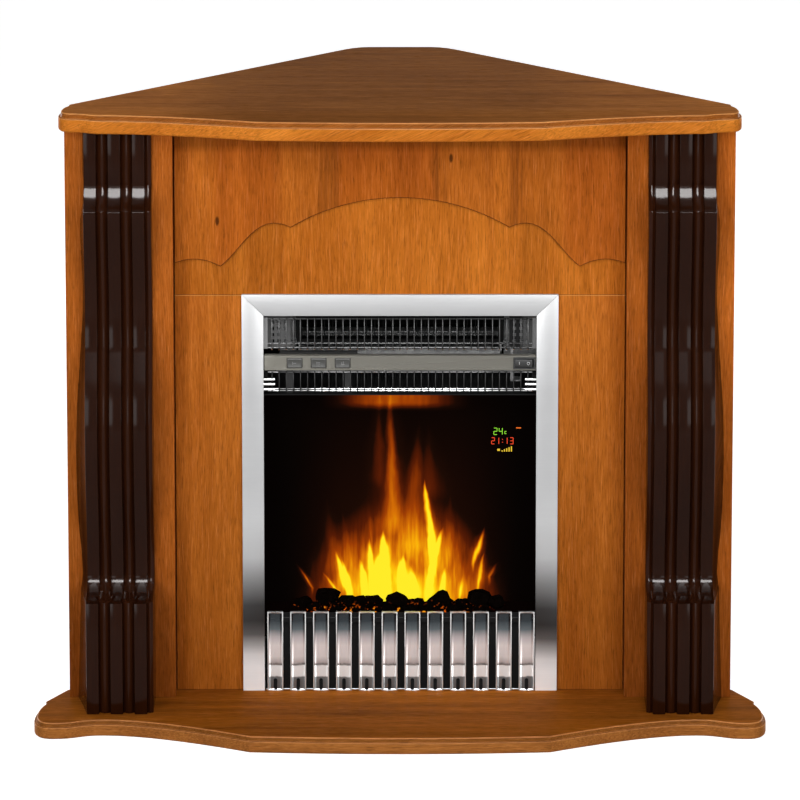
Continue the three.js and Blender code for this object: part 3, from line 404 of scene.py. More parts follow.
# the top's levels across rise towards both ends: a painted sheen, lighter at the ends
top_wood = veneer(
    "umber_veneer",
    tone(150, 92, 40),
    tone(112, 64, 24),
    run="X",
    pore=0.2,
    gloss=0.001,
    leaves_and_sheen=(
        (-0.53, 1.8),
        (-0.37, 1.65),
        (-0.26, 1.15),
        (-0.18, 1.04),
        (0.0, 1.04),
        (0.2, 1.1),
        (0.31, 1.5),
        (0.4, 1.65),
        (0.53, 1.8),
    ),
)
nose_wood = veneer("edge_veneer", tone(210, 126, 42), tone(176, 95, 26), run="X", slant=0.42)
band_wood = veneer("band_veneer", tone(160, 90, 30), tone(130, 72, 24), run="X", slant=0.3)
# painted highlights: a paler wood for the eased edges that would catch the light
painted_gleam_wood = veneer("edge_gleam_veneer", tone(218, 150, 84), tone(190, 122, 62), run="X")
hearth_wood = veneer(
    "hearth_veneer", tone(156, 88, 22), tone(112, 60, 12), run="X", pore=0.3, gloss=0.002
)
hearth_nose_wood = veneer("hearth_edge_veneer", tone(172, 108, 50), tone(130, 76, 33), run="X")
painted_hearth_gleam_wood = veneer("hearth_gleam_veneer", tone(196, 130, 72), tone(160, 102, 54), run="X")
hearth_band_wood = veneer("hearth_band_veneer", tone(144, 86, 34), tone(108, 62, 22), run="X")
# a painted highlight: pale strips along the facings' top edges
joint_highlight_wood = veneer("joint_highlight_veneer", tone(232, 168, 92), tone(206, 140, 70), run="X")


# on the fascia: middle and half width of reddish zones and of dark figure, and the knots
FASCIA_REDS = ((-0.237, 0.035), (-0.02, 0.06), (0.295, 0.03))
FASCIA_STREAKS = ((-0.107, 0.012), (0.179, 0.007), (0.06, 0.004))
FASCIA_KNOTS = ((-0.2815, 0.777), (0.079, 0.876))
KNOT_HALF = (0.0035, 0.008)


def fascia_veneer():
    """Reddish flat-cut veneer with dark figure streaks, two small knots and a painted shadow along its
    top, under the mantel.
    """
    wood = veneer("red_veneer", tone(194, 108, 34), tone(156, 82, 24), painted_shade=MANTEL_PAINTED_SHADOW)
    x, _, z = wood.axes()
    wander = wood.grain((30.0, 30.0, 9.0), 3.0) - 0.5
    red = highest((x + wander * 0.03).band(middle, half, 0.03) for middle, half in FASCIA_REDS)
    streaks = highest(
        (x + wander * 0.022).band(middle, half, 0.012) for middle, half in FASCIA_STREAKS
    )
    streaks = streaks * wood.grain((240.0, 240.0, 5.0)).step(0.4, 0.6)
    knots = []
    for across, height in FASCIA_KNOTS:
        off_x = (x - across + wander * 0.004) / KNOT_HALF[0]
        off_z = (z - height) / KNOT_HALF[1]
        knots.append(1.0 - (off_x * off_x + off_z * off_z).step(0.2, 1.3))
    plain = wood.colour_so_far()
    reddened = wood.mixed(1.0, plain, tone(238, 206, 206), "MULTIPLY")
    colour = wood.mixed(red * 0.36, plain, reddened)
    colour = wood.mixed(streaks * 0.4, colour, tone(100, 50, 20))
    colour = wood.mixed(highest(knots) * 0.85, colour, tone(62, 30, 12))
    wood.look(base_color=colour)
    return wood


fascia_wood = fascia_veneer()
# painted shade: a dark wood for boards' eased edges, standing in for the shadow line along the gaps
edge_shade_wood = veneer("edge_shade_veneer", tone(108, 58, 20), tone(84, 42, 14))


# the middles of a moulding's three ribs
RIB_MIDDLE = 0.43755
RIB_PITCH = 0.0372
MOULDING_RIBS = [RIB_MIDDLE + step * RIB_PITCH for step in (1, 0, -1)]
RIB_HALF = 0.0094


def chocolate_lacquer():
    """Dark stained wood under clear lacquer, with a painted highlight: the beads between the ribs are
    painted lighter.
    """
    lacquer = Finish("chocolate_lacquer", specular=0.06)
    fibre = lacquer.grain((420.0, 420.0, 16.0), 3.0)
    cloud = lacquer.grain((18.0, 18.0, 4.0))
    x = lacquer.axes()[0]
    ribs = highest(x.size().band(across, RIB_HALF, 0.001) for across in MOULDING_RIBS)
    colour = lacquer.mixed((cloud - 0.2).held(), tone(40, 17, 6), tone(28, 10, 3))
    # painted highlight on the beads: everything but the rib faces is painted lighter
    colour = lacquer.mixed(ribs, lacquer.dimmed(colour, 1.5), colour)
    colour = lacquer.dimmed(colour, 0.75 + fibre * 0.5)
    lacquer.look(base_color=colour, roughness=0.1 + fibre * 0.06)
    lacquer.bumped(fibre, 0.05, 0.0001)
    return lacquer


chocolate = chocolate_lacquer()

# ---------------------------------------------------------------- metals

# painted reflections: brightness of the polished frame against height, bright foot, dark band, pale
# sides, painted in for what it mirrors
FRAME_PAINTED_REFLECTIONS = (
    (0.02, 1.0),
    (0.06, 0.97),
    (0.08, 0.82),
    (0.095, 0.46),
    (0.112, 0.14),
    (0.135, 0.05),
    (0.16, 0.055),
    (0.20, 0.18),
    (0.24, 0.35),
    (0.30, 0.39),
    (0.36, 0.34),
    (0.43, 0.32),
    (0.50, 0.30),
    (0.60, 0.35),
    (0.66, 0.43),
)
# how metallic it is there: the foot is less metallic, so that its painted brightness shows as lit
# rather than mirroring the hearth
FRAME_MIRROR = ((0.02, 0.05), (0.07, 0.12), (0.10, 0.4), (0.13, 0.9), (0.16, 1.0), (0.66, 1.0))


def silver_frame_metal():
    silver = Finish("satin_silver")
    brush = silver.grain((26.0, 900.0, 900.0), 3.0)
    drift = silver.grain((5.0, 5.0, 3.0), 1.0)
    at = silver.axes()[2] + (drift - 0.5) * 0.02
    # painted reflections by height
    level = silver.along(at, FRAME_PAINTED_REFLECTIONS) * (0.97 + brush * 0.06)
    silver.look(base_color=silver.dimmed((0.985, 0.99, 1.0, 1.0), level))
    silver.look(metallic=silver.along(at, FRAME_MIRROR), roughness=0.3 + brush * 0.1)
    silver.bumped(brush, 0.04, 0.0001)
    return silver


silver = silver_frame_metal()

# painted reflections: the fret bars' colour in bands by height, for the room they mirror: dark head,
# rosy middle, a painted shadow line, a white foot
BAR_PAINTED_REFLECTIONS = (
    (0.0253, tone(96, 97, 98)),
    (0.040, tone(108, 109, 110)),
    (0.0465, tone(118, 119, 120)),
    (0.0485, tone(246, 246, 246)),
    (0.065, tone(250, 250, 250)),
    (0.0672, tone(70, 62, 60)),
    (0.0705, tone(190, 180, 178)),
    (0.080, tone(226, 218, 216)),
    (0.098, tone(222, 210, 208)),
    (0.112, tone(176, 168, 168)),
    (0.124, tone(84, 92, 96)),
    (0.138, tone(26, 36, 42)),
    (0.152, tone(12, 18, 22)),
)


def chrome_metal():
    chrome = Finish("chrome", metallic=0.35)
    low, high = BAR_PAINTED_REFLECTIONS[0][0], BAR_PAINTED_REFLECTIONS[-1][0]
    smear = chrome.grain((90.0, 90.0, 14.0))
    share = (chrome.axes()[2] + (smear - 0.5) * 0.004 - low) / (high - low)
    # the painted reflections, smeared a little
    reflections = chrome.ramp(share, [((at - low) / (high - low), colour) for at, colour in BAR_PAINTED_REFLECTIONS])
    chrome.look(base_color=reflections, roughness=0.2 + smear * 0.08)
    return chrome


def plain_metal(name, colour, roughness, wear=0.25, metallic=1.0):
    metal = Finish(name, metallic=metallic)
    flake = metal.grain((300.0, 300.0, 300.0), 3.0)
    cloud = metal.noise(metal.place(), 14.0, detail=3.0)
    level = (1.0 - wear) + flake * wear + cloud * wear
    metal.look(base_color=metal.dimmed(colour, level))
    metal.look(roughness=roughness + (cloud - 0.5) * 0.2)
    metal.bumped(flake, 0.06, 0.0002)
    return metal


def spangled_zinc():
    """Galvanised sheet: grey crystals of different tones."""
    zinc = Finish("galvanised_zinc", metallic=1.0)
    crystal = zinc.cells(130.0)
    cloud = zinc.noise(zinc.place(), 22.0, detail=3.0)
    zinc.look(base_color=zinc.mixed(crystal, grey(138), grey(176)))
    zinc.look(roughness=0.32 + crystal * 0.18 + (cloud - 0.5) * 0.12)
    return zinc


def moulded_plastic(name, colour, roughness):
    plastic = Finish(name, specular=0.35)
    texture = plastic.noise(plastic.place(), 900.0, detail=2.0)
    cloud = plastic.noise(plastic.place(), 35.0, detail=2.0)
    plastic.look(base_color=plastic.dimmed(colour, 0.85 + cloud * 0.3))
    plastic.look(roughness=roughness + (texture - 0.5) * 0.12)
    plastic.bumped(texture, 0.12, 0.0001)
    return plastic


chrome = chrome_metal()
rim_chrome = plain_metal("rim_chrome", grey(232), 0.12, wear=0.06)
bar_rim = plain_metal("bar_rim", grey(214), 0.25, wear=0.06, metallic=0.45)
# painted shade: the ledge across each fret bar is painted dark as the shadow line there
shaded_ledge_chrome = plain_metal("shaded_ledge_chrome", tone(74, 64, 60), 0.4, wear=0.1, metallic=0.3)
foot_grey = plain_metal("foot_grey", grey(120), 0.4, metallic=0.2)
zinc = spangled_zinc()
frame_edge = plain_metal("frame_edge", grey(150), 0.6, wear=0.1, metallic=0.0)
black_steel = plain_metal("black_enamel", grey(13), 0.6, metallic=0.0)
black_steel.look(specular=0.05)


def vent_end_paint():
    """Grey paint on the vents' ends, with painted shade further in."""
    paint = plain_metal("vent_grey", grey(104), 0.5, metallic=0.1)
    paint.look(specular=0.06)
    # painted shade: darker away from the ends
    shade = paint.along(
        paint.axes()[0],
        ((-0.222, 1.0), (-0.17, 0.8), (-0.166, 0.1), (0.188, 0.1), (0.192, 0.7), (0.222, 1.0)),
    )
    return paint.look(base_color=paint.dimmed(paint.colour_so_far(), shade))


vent_grey = vent_end_paint()


def olive_panel():
    """Painted strip, a little paler towards its left end."""
    olive = Finish("olive_panel", specular=0.06)
    brush = olive.grain((14.0, 700.0, 700.0))
    level = olive.along(olive.axes()[0], ((-0.21, 1.2), (-0.12, 1.08), (0.0, 0.98), (0.21, 0.94)))
    olive.look(base_color=olive.dimmed(tone(124, 122, 114), level * (0.94 + brush * 0.12)))
    olive.look(roughness=0.42 + brush * 0.1)
    return olive


olive = olive_panel()
black_plastic = moulded_plastic("black_plastic", grey(24), 0.42)
grey_plastic = moulded_plastic("grey_plastic", tone(58, 58, 55), 0.5)
key_mark = moulded_plastic("key_mark", grey(118), 0.6)
mark_paint = moulded_plastic("pale_mark", grey(190), 0.6)


def particle_board():
    board = Finish("particle_board", specular=0.1, roughness=0.85)
    chip = board.cells(260.0)
    dust = board.noise(board.place(), 900.0, detail=2.0)
    colour = board.mixed(chip, tone(168, 132, 86), tone(206, 176, 128))
    board.look(base_color=board.dimmed(colour, 0.8 + dust * 0.4))
    board.bumped(dust, 0.3, 0.0003)
    return board


def circuit_board():
    board = Finish("circuit_board", specular=0.4, roughness=0.4)
    x, y, z = board.axes()
    grid = board.node(
        "ShaderNodeTexBrick",
        {"offset": 0.5},
        {
            "Vector": board.joined(x, z + y, 0.0),
            "Scale": 90.0,
            "Mortar Size": 0.03,
            "Color1": tone(34, 92, 52),
            "Color2": tone(26, 76, 44),
            "Mortar": tone(66, 130, 76),
        },
    )
    board.look(base_color=grid)
    return board


raw_board = particle_board()
circuit = circuit_board()

# ---------------------------------------------------------------- fire

# flames on the screen, in millimetres: foot across and height, tip across and height, half
# width, and heat at the core
TONGUES = (
    (-24, 150, -29, 272, 15, 1.15),
    (-44, 150, -50, 256, 12, 0.95),
    (-34, 150, -34, 240, 22, 1.1),
    (0, 150, 2, 232, 16, 1.15),
    (22, 150, 12, 214, 14, 0.95),
    (48, 212, 36, 356, 10, 0.85),
    (50, 200, 44, 300, 12, 0.85),
    (48, 214, 64, 276, 9, 0.75),
    (42, 150, 45, 226, 10, 0.9),
    (62, 150, 67, 212, 8, 0.85),
    (-84, 168, -106, 240, 8, 0.8),
    (-78, 160, -96, 226, 9, 0.75),
    (-54, 150, -65, 224, 12, 0.85),
    (-102, 172, -126, 202, 6, 0.7),
    (-140, 176, -166, 216, 4, 0.42),
    (118, 170, 129, 238, 5, 0.5),
    (112, 214, 129, 276, 8, 0.7),
    (136, 194, 152, 218, 7, 0.6),
    (92, 160, 96, 196, 5, 0.5),
)
# tall faint plumes: across and height of foot and tip, half width, heat
PLUMES = (
    (-14, 270, -14, 420, 22, 0.30),
    (-14, 300, -19, 505, 12, 0.34),
    (-34, 340, -36, 500, 10, 0.12),
    (14, 230, 26, 440, 24, 0.24),
    (44, 320, 40, 440, 14, 0.12),
    (-100, 200, -118, 320, 12, 0.12),
    (-80, 200, -92, 300, 10, 0.12),
    (70, 220, 76, 330, 12, 0.14),
)
HEAT_STOPS = (
    (0.0, tone(3, 1, 1)),
    (0.10, tone(26, 8, 3)),
    (0.24, tone(84, 26, 4)),
    (0.40, tone(158, 62, 4)),
    (0.56, tone(214, 112, 6)),
    (0.74, tone(250, 170, 8)),
    (0.90, tone(255, 216, 16)),
    (1.0, tone(255, 236, 40)),
)
MM = 0.001
FIRE_SHIFT = 0.003  # how far right of the middle the picture sits
FAINT_HEAT = 0.4  # a plume's heat is below this


def flame_picture():
    fire = Finish("flame_screen", specular=0.0, roughness=0.6)
    fire.look(base_color=tone(4, 3, 2))
    x, _, z = fire.axes()
    lick = fire.grain((38.0, 1.0, 17.0), 3.0) - 0.5
    flutter = fire.grain((90.0, 1.0, 16.0))
    x = x + lick * 0.012 - FIRE_SHIFT
    glow = None
    for foot_x, foot_z, tip_x, tip_z, half, heat in (*TONGUES, *PLUMES):
        tall = (tip_z - foot_z) * MM
        share = ((z - foot_z * MM) / tall).held()
        middle = foot_x * MM + share * ((tip_x - foot_x) * MM)
        faint = heat < FAINT_HEAT
        taper = (1.0 - share * share) if faint else (1.0 - share) * (0.35 + share * 1.5)
        wide = taper * (half * 0.82 * MM) + 0.0004
        off = (x - middle).size() / wide
        core = 1.0 - off.step(0.0, 1.5)
        halo = 1.0 - off.step(0.4, 4.0)
        above = (z - tip_z * MM).step(*((-0.1, 0.02) if faint else (-0.03, 0.004)))
        ends = (z - foot_z * MM).step(-0.02, 0.02) * (1.0 - above)
        part = (core * (heat * 0.8) + halo * (0.06 if faint else 0.17)) * ends
        glow = part if glow is None else glow.most(part) + glow.least(part) * 0.3
    haze_x = (x - 0.002) / 0.17
    haze_z = (z - 0.15) / 0.18
    haze = 1.0 - (haze_x * haze_x + haze_z * haze_z).step(0.0, 1.0)
    base = (1.0 - (z - 0.15).step(0.0, 0.085)) * x.band(0.0, 0.085, 0.09)
    far = (1.0 - (z - 0.15).step(0.0, 0.42)) * x.band(0.0, 0.06, 0.13)
    lip = z.band(0.482, 0.006, 0.016) * (x + 0.008).band(0.0, 0.02, 0.1)
    streaks = fire.grain((210.0, 1.0, 22.0), 3.0)
    haze = haze * (0.35 + flutter * 1.3) * (0.6 + streaks * 0.8)
    glow = glow * (0.78 + streaks * 0.44)
    heat = glow + haze * 0.46 + base * 0.13 + far * 0.13 + lip * (0.3 + flutter * 0.2)
    picture = fire.ramp(heat.held(), HEAT_STOPS)
    fire.look(emission_color=picture, emission_strength=1.0)
    return fire


flames = flame_picture()


def coal_finish():
    coal = Finish("coal", specular=0.0)
    grain = coal.noise(coal.place(), 260.0, detail=4.0, roughness=0.7)
    z = coal.axes()[2]
    veins = coal.noise(coal.place(), 150.0, detail=3.0)
    patch = coal.noise(coal.place(), 34.0, detail=1.0).step(0.46, 0.6)
    ember = veins.step(0.58, 0.7) * (1.0 - (z - 0.15).step(0.0, 0.012)) * patch
    coal.look(base_color=coal.mixed(grain, grey(1), tone(14, 8, 6)), roughness=0.6 + grain * 0.3)
    coal.look(emission_color=coal.mixed(ember, (0.0, 0.0, 0.0, 1.0), tone(230, 96, 10)))
    coal.look(emission_strength=1.0)
    coal.bumped(grain, 0.6, 0.001)
    return coal


def ember_finish():
    ember = Finish("ember_bed", specular=0.0, roughness=0.8)
    spark = ember.grain((120.0, 60.0, 60.0), 3.0)
    hot = spark.step(0.54, 0.68) * ember.axes()[0].band(0.0, 0.10, 0.07)
    glow = ember.ramp(hot, ((0.0, tone(2, 0, 0)), (0.4, tone(120, 40, 6)), (1.0, tone(255, 160, 20))))
    ember.look(base_color=tone(9, 5, 4), emission_color=glow, emission_strength=1.0)
    ember.bumped(spark, 0.4, 0.001)
    return ember


coal = coal_finish()
embers = ember_finish()

# ---------------------------------------------------------------- modelling helpers


def pick(piece):
    bpy.ops.object.select_all(action="DESELECT")
    piece.select_set(True)
    bpy.context.view_layer.objects.active = piece


def choose(piece, wanted, kind="FACE"):
    """In edit mode, selects the faces or edges that wanted() accepts."""
    pick(piece)
    bpy.ops.object.mode_set(mode="EDIT")
    bpy.ops.mesh.select_mode(type=kind)
    bpy.ops.mesh.select_all(action="DESELECT")
    bpy.ops.object.mode_set(mode="OBJECT")
    parts = piece.data.polygons if kind == "FACE" else piece.data.edges
    for part in parts:
        part.select = wanted(part)
    bpy.ops.object.mode_set(mode="EDIT")


def done():
    bpy.ops.object.mode_set(mode="OBJECT")


def bevelled(piece, wide, segments=2, angle=30.0):
    """Eases the edges whose faces meet at more than the angle."""
    edge = piece.modifiers.new("edge", "BEVEL")
    edge.width = wide
    edge.segments = segments
    edge.limit_method = "ANGLE"
    edge.angle_limit = math.radians(angle)
    edge.use_clamp_overlap = True
    pick(piece)
    bpy.ops.object.modifier_apply(modifier="edge")
    return piece


def smoothed(piece, angle=35.0):
    pick(piece)
    bpy.ops.object.shade_smooth_by_angle(angle=math.radians(angle))
    return piece


def sewn_copy(node, name):
    """A whole mesh made from a node's loose triangles, flat faces joined up."""
    piece = bpy.data.objects.new(name, nodes[node].data.copy())
    bpy.context.scene.collection.objects.link(piece)
    pick(piece)
    bpy.ops.mesh.customdata_custom_splitnormals_clear()
    bpy.ops.object.mode_set(mode="EDIT")
    bpy.ops.mesh.select_all(action="SELECT")
    bpy.ops.mesh.remove_doubles(threshold=1e-5)
    bpy.ops.mesh.dissolve_limited(angle_limit=math.radians(0.4))
    done()
    return piece


def painted(piece, *finishes):
    piece.data.materials.clear()
    for finish in finishes:
        piece.data.materials.append(finish.material)
    return piece


def seated(piece, slot, *replaced, body=BODY):
    """The finished piece takes its place on a body and stands for its nodes."""
    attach(piece, body)
    if replaced:
        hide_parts(*replaced)
    return piece


def joined(pieces, name):
    bpy.ops.object.select_all(action="DESELECT")
    for piece in pieces:
        piece.select_set(True)
    bpy.context.view_layer.objects.active = pieces[0]
    if len(pieces) > 1:
        bpy.ops.object.join()
    whole = bpy.context.view_layer.objects.active
    whole.name = name
    return whole


def settle(piece):
    pick(piece)
    bpy.ops.object.transform_apply(location=True, rotation=True, scale=True)
    return piece


def started(name, add_primitive, **settings):
    """A primitive, added at its size and place, as the start of a piece."""
    bpy.ops.object.select_all(action="DESELECT")
    add_primitive(**settings)
    piece = bpy.context.object
    piece.name = name
    return settle(piece)


def brick(name, low, high):
    """A block between two corners."""
    middle = [(a + b) / 2 for a, b in zip(low, high)]
    size = [b - a for a, b in zip(low, high)]
    return started(name, bpy.ops.mesh.primitive_cube_add, size=1.0, location=middle, scale=size)


def repeated(piece, offsets):
    """A piece followed by its copies, each at an offset from it."""
    row = [piece]
    for offset in offsets:
        twin = bpy.data.objects.new(piece.name, piece.data.copy())
        bpy.context.scene.collection.objects.link(twin)
        twin.location = offset
        row.append(settle(twin))
    return row


def eased_node(node, name, slot, finish, wide, sharp, smooth):
    """A node's own form with its sharp edges eased; both angles are in degrees."""
    piece = sewn_copy(node, name)
    bevelled(piece, wide, 2, sharp)
    painted(piece, finish)
    smoothed(piece, smooth)
    seated(piece, slot, node)


# ---------------------------------------------------------------- mantel and hearth


TOP, BAND, NOSE, PAINTED_GLEAM = range(4)
NOSE_SHARE = 0.70  # of a board's thickness, below the band
BOARD_GAP = 0.0012  # between a front board and the posts


def edged_board(node, name, *woods):
    """woods are those of the top, of the band under its edge, of the nose and of the edges
    that catch the light, which carry a painted highlight."""
    board = sewn_copy(node, name)
    bevelled(board, 0.0008, 3, 24.0)
    painted(board, *woods)
    low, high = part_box(node)
    flat = high.z - 1e-4
    step = high.z - (1.0 - NOSE_SHARE) * (high.z - low.z)
    for face in board.data.polygons:
        lift = face.normal.z
        if lift > 0.98 and face.center.z > flat:
            face.material_index = TOP
        # eased edges facing up and forward get the painted highlight
        elif 0.3 < lift < 0.97 and face.center.z > step - 0.002:
            face.material_index = PAINTED_GLEAM
        else:
            face.material_index = BAND if face.center.z > step else NOSE
    smoothed(board, 40.0)
    seated(board, "teak_top", node)


edged_board("mantel_top", "mantel_shelf", top_wood, band_wood, nose_wood, painted_gleam_wood)
edged_board(
    "hearth_base", "hearth_slab", hearth_wood, hearth_band_wood, hearth_nose_wood, painted_hearth_gleam_wood
)


def front_board(node, name, wood, slot, easing):
    """A board that ends a little short of the posts, which leaves a dark gap. Its eased edges
    are painted darker than its face, as painted shade along the gaps."""
    board = sewn_copy(node, name)
    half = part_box("upper_fascia")[1].x - BOARD_GAP
    for end in (-half, half):
        choose(board, lambda face: True)
        bpy.ops.mesh.bisect(
            plane_co=(end, 0.0, 0.0),
            plane_no=(1.0, 0.0, 0.0),
            use_fill=True,
            clear_inner=end < 0.0,
            clear_outer=end > 0.0,
        )
        done()
    bevelled(board, easing, 3, 40.0)
    painted(board, wood, edge_shade_wood)
    for face in board.data.polygons:
        # the eased edges get the painted shade
        face.material_index = 1 if face.normal.y > -0.97 else 0
    smoothed(board, 30.0)
    seated(board, slot, node)


front_board("upper_fascia", "fascia_board", fascia_wood, "teak_red", 0.0011)
front_board("arch_panel", "arch_board", arch_wood, "teak", 0.0004)
front_board("left_facing", "left_facing_board", panel_wood, "teak", 0.0004)
front_board("right_facing", "right_facing_board", panel_wood, "teak", 0.0004)


for side in ("left", "right"):
    eased_node(f"{side}_moulding", f"{side}_wavy_moulding", "chocolate", chocolate, 0.0007, 38.0, 36.0)


JOINT_PROUD = 0.0003
JOINT_TALL = 0.0008


def joint_edges():
    """A thin strip along the top edge of each facing under the arch panel, painted pale as a highlight.
    """
    strips = []
    for side in ("left", "right"):
        low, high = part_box(f"{side}_facing")
        silver_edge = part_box("trim_top")[1].x
        reach = (low.x, -silver_edge) if side == "left" else (silver_edge, high.x)
        foot = (reach[0], low.y - JOINT_PROUD, high.z - JOINT_TALL)
        strips.append(bevelled(brick("edge", foot, (reach[1], low.y, high.z)), 0.0001, 1))
    seated(painted(joined(strips, "facing_joint_highlights"), joint_highlight_wood), "teak")


joint_edges()

# ---------------------------------------------------------------- silver frame

for part in ("trim_left", "trim_right", "trim_top"):
    strip = sewn_copy(part, f"{part}_rail")
    bevelled(strip, 0.0004, 2, 40.0)
    painted(strip, silver, frame_edge)
    for face in strip.data.polygons:
        face.material_index = 1 if face.normal.z > 0.6 or face.normal.x * face.center.x > 0.1 else 0
    smoothed(strip, 30.0)
    seated(strip, "brushed_silver", part)

# ---------------------------------------------------------------- wire guards

WIRE = 0.0009  # radius
WIRE_SIDES = 10
WIRE_PITCH = 0.011
WIRES_EACH_SIDE = 18
END_BAR = 0.015  # how far a bright end bar reaches inwards
END_BAR_TALL = 0.0028
RAIL_SHORT = 0.036  # how far inside the frame's outer edges the rails end
# rungs of the guards: height above the foot and radius
UPPER_RUNGS = ((0.0016, 0.0011), (0.0085, 0.0009), (0.0475, 0.0016))
LOWER_RUNGS = ((0.0016, 0.0008), (0.0046, 0.0008), (0.0315, 0.0009))
LOWER_END_BARS = (0.0042, 0.0123, 0.02)


def wire(name, start, end, radius=WIRE):
    """A straight round wire between two points."""
    run = Vector(end) - Vector(start)
    piece = started(
        name,
        bpy.ops.mesh.primitive_cylinder_add,
        vertices=WIRE_SIDES,
        radius=radius,
        depth=run.length,
        location=(Vector(start) + Vector(end)) / 2,
        rotation=run.to_track_quat("Z", "Y").to_euler(),
    )
    return smoothed(bevelled(piece, radius * 0.3, 1, 60.0), 50.0)


def row_of_wires(name, start, end):
    """Equal wires side by side across the fire, modelled once."""
    offsets = [(step * WIRE_PITCH, 0.0, 0.0) for step in range(1, 2 * WIRES_EACH_SIDE + 1)]
    return joined(repeated(wire(name, start, end), offsets), name)


def wire_guard(node, rungs, end_bars, plain, bright):
    """Upright wires welded to rails; rungs are (height above the foot, radius), end_bars the
    heights of short bright bars at both ends."""
    low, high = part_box(node)
    front = low.y + WIRE + 0.0003
    left = -WIRES_EACH_SIDE * WIRE_PITCH
    uprights = row_of_wires("upright", (left, front, low.z + 0.001), (left, front, high.z - 0.001))
    painted(uprights, plain)
    rails = []
    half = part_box("trim_top")[1].x - RAIL_SHORT
    for height, radius in rungs:
        at = (low.y + 2 * WIRE + radius + 0.0002, low.z + height)
        rail = wire("rail", (-half, *at), (half, *at), radius)
        rails.append(painted(rail, bright))
    for end in (-1.0, 1.0):
        x0, x1 = sorted((end * (half - 0.004), end * high.x))
        tab = brick("tab", (x0, high.y - 0.0036, low.z), (x1, high.y, high.z))
        rails.append(painted(bevelled(tab, 0.0006, 2), black_steel if end_bars else bright))
        x0 = end * (half - END_BAR) if end > 0.0 else low.x
        x1 = high.x if end > 0.0 else end * (half - END_BAR)
        for height in end_bars:
            foot = low.z + height - END_BAR_TALL / 2
            bar = brick("bar", (x0, low.y + 0.0004, foot), (x1, high.y - 0.0004, foot + END_BAR_TALL))
            rails.append(painted(bevelled(bar, 0.0005, 2), bright))
    seated(joined([uprights, *rails], f"{node}_wires"), "black_steel", node)


def guard_wire(name, colour, glints):
    """Bright-drawn wire with painted reflections; glints are (across, level) of what it mirrors,
    painted into its colour.
    """
    metal = Finish(name, metallic=1.0)
    flake = metal.noise(metal.place(), 420.0, detail=2.0)
    level = metal.along(metal.axes()[0], glints) * (0.8 + flake * 0.4)
    metal.look(base_color=metal.dimmed(colour, level), roughness=0.28 + flake * 0.12)
    return metal


# painted reflections: the wires' and rails' levels along their length
wire_grey = guard_wire("wire_grey", grey(112), ((-0.222, 1.0), (-0.15, 0.5), (0.15, 0.5), (0.222, 0.8)))
wire_dim = guard_wire("wire_dim", grey(74), ((-0.222, 0.5), (0.222, 0.5)))
rail_bright = guard_wire(
    "rail_bright",
    grey(250),
    (
        (-0.222, 0.9),
        (-0.19, 0.8),
        (-0.185, 0.12),
        (-0.14, 0.15),
        (-0.13, 0.42),
        (0.13, 0.42),
        (0.14, 0.2),
        (0.19, 0.2),
        (0.195, 0.8),
        (0.222, 0.9),
    ),
)
rail_dull = guard_wire(
    "rail_dull", grey(124), ((-0.222, 1.0), (-0.14, 0.16), (0.19, 0.16), (0.222, 0.8))
)
wire_brown = guard_wire("wire_brown", tone(104, 78, 62), ((-0.222, 0.8), (0.0, 0.6), (0.222, 0.6)))

wire_guard("upper_guard", UPPER_RUNGS, (), wire_grey, rail_dull)
wire_guard("lower_guard", LOWER_RUNGS, LOWER_END_BARS, wire_dim, rail_bright)


RETURN_END = -0.056  # how far back the upper guard's wires run


def wire_returns():
    """The feet of the upper guard's wires, bent back over the control strip."""
    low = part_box("upper_guard")[0]
    at = low.z - 0.0014
    left = -WIRES_EACH_SIDE * WIRE_PITCH
    feet = row_of_wires("guard_wire_returns", (left, low.y + 0.0014, at), (left, RETURN_END, at))
    seated(painted(feet, wire_brown), "black_steel")


wire_returns()

# ---------------------------------------------------------------- control strip and its keys


def mark_bars(x, y, z, bars):
    """Flat bars proud of a surface at (x, y, z): (offset across, offset up, wide, tall)."""
    marks = []
    for across, up, wide, tall in bars:
        middle = (x + across, z + up)
        low = (middle[0] - wide / 2, y - 0.00015, middle[1] - tall / 2)
        high = (middle[0] + wide / 2, y + 0.0001, middle[1] + tall / 2)
        marks.append(bevelled(brick("mark", low, high), 0.0001, 1))
    return marks


# the bars on each key: offset across, offset up, width and height
KEY_MARKS = {
    "heat_low_button": ((-0.003, 0.0, 0.0008, 0.0046), (0.0, 0.0, 0.0046, 0.0007)),
    "heat_high_button": (
        (-0.003, 0.0, 0.0008, 0.0046),
        (0.0, 0.0012, 0.0046, 0.0007),
        (0.0, -0.0012, 0.0046, 0.0007),
    ),
    "flame_button": (
        (0.0, -0.0018, 0.0056, 0.0008),
        (-0.0014, 0.0002, 0.0008, 0.0032),
        (0.0012, 0.0008, 0.0008, 0.0044),
    ),
}


KEY_RIM = 0.0016
KEY_SLOPE = 0.0007
KEY_DISH = 0.0005
ROCKER_ANGLE = math.radians(16.0)
ROCKER_BAR_AT = -0.0910  # the y of the pressed half
ROCKER_RING_AT = -0.0928  # the y of the raised half


def push_button(node):
    """A moulded key: rounded edges, a shallow dished face and its mark."""
    low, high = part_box(node)
    cap = brick(f"{node}_cap", low, high)
    choose(cap, lambda face: face.normal.y < -0.9)
    bpy.ops.mesh.inset(thickness=KEY_RIM, depth=0.0)
    bpy.ops.mesh.inset(thickness=KEY_SLOPE, depth=-KEY_DISH)
    done()
    bevelled(cap, 0.0006, 3, 60.0)
    smoothed(cap, 40.0)
    painted(cap, grey_plastic)
    middle = (low + high) / 2
    marks = mark_bars(middle.x, low.y + KEY_DISH, middle.z, KEY_MARKS[node])
    for mark in marks:
        painted(mark, key_mark)
    seated(joined([cap, *marks], f"{node}_cap"), "grey_plastic", node, body=node)


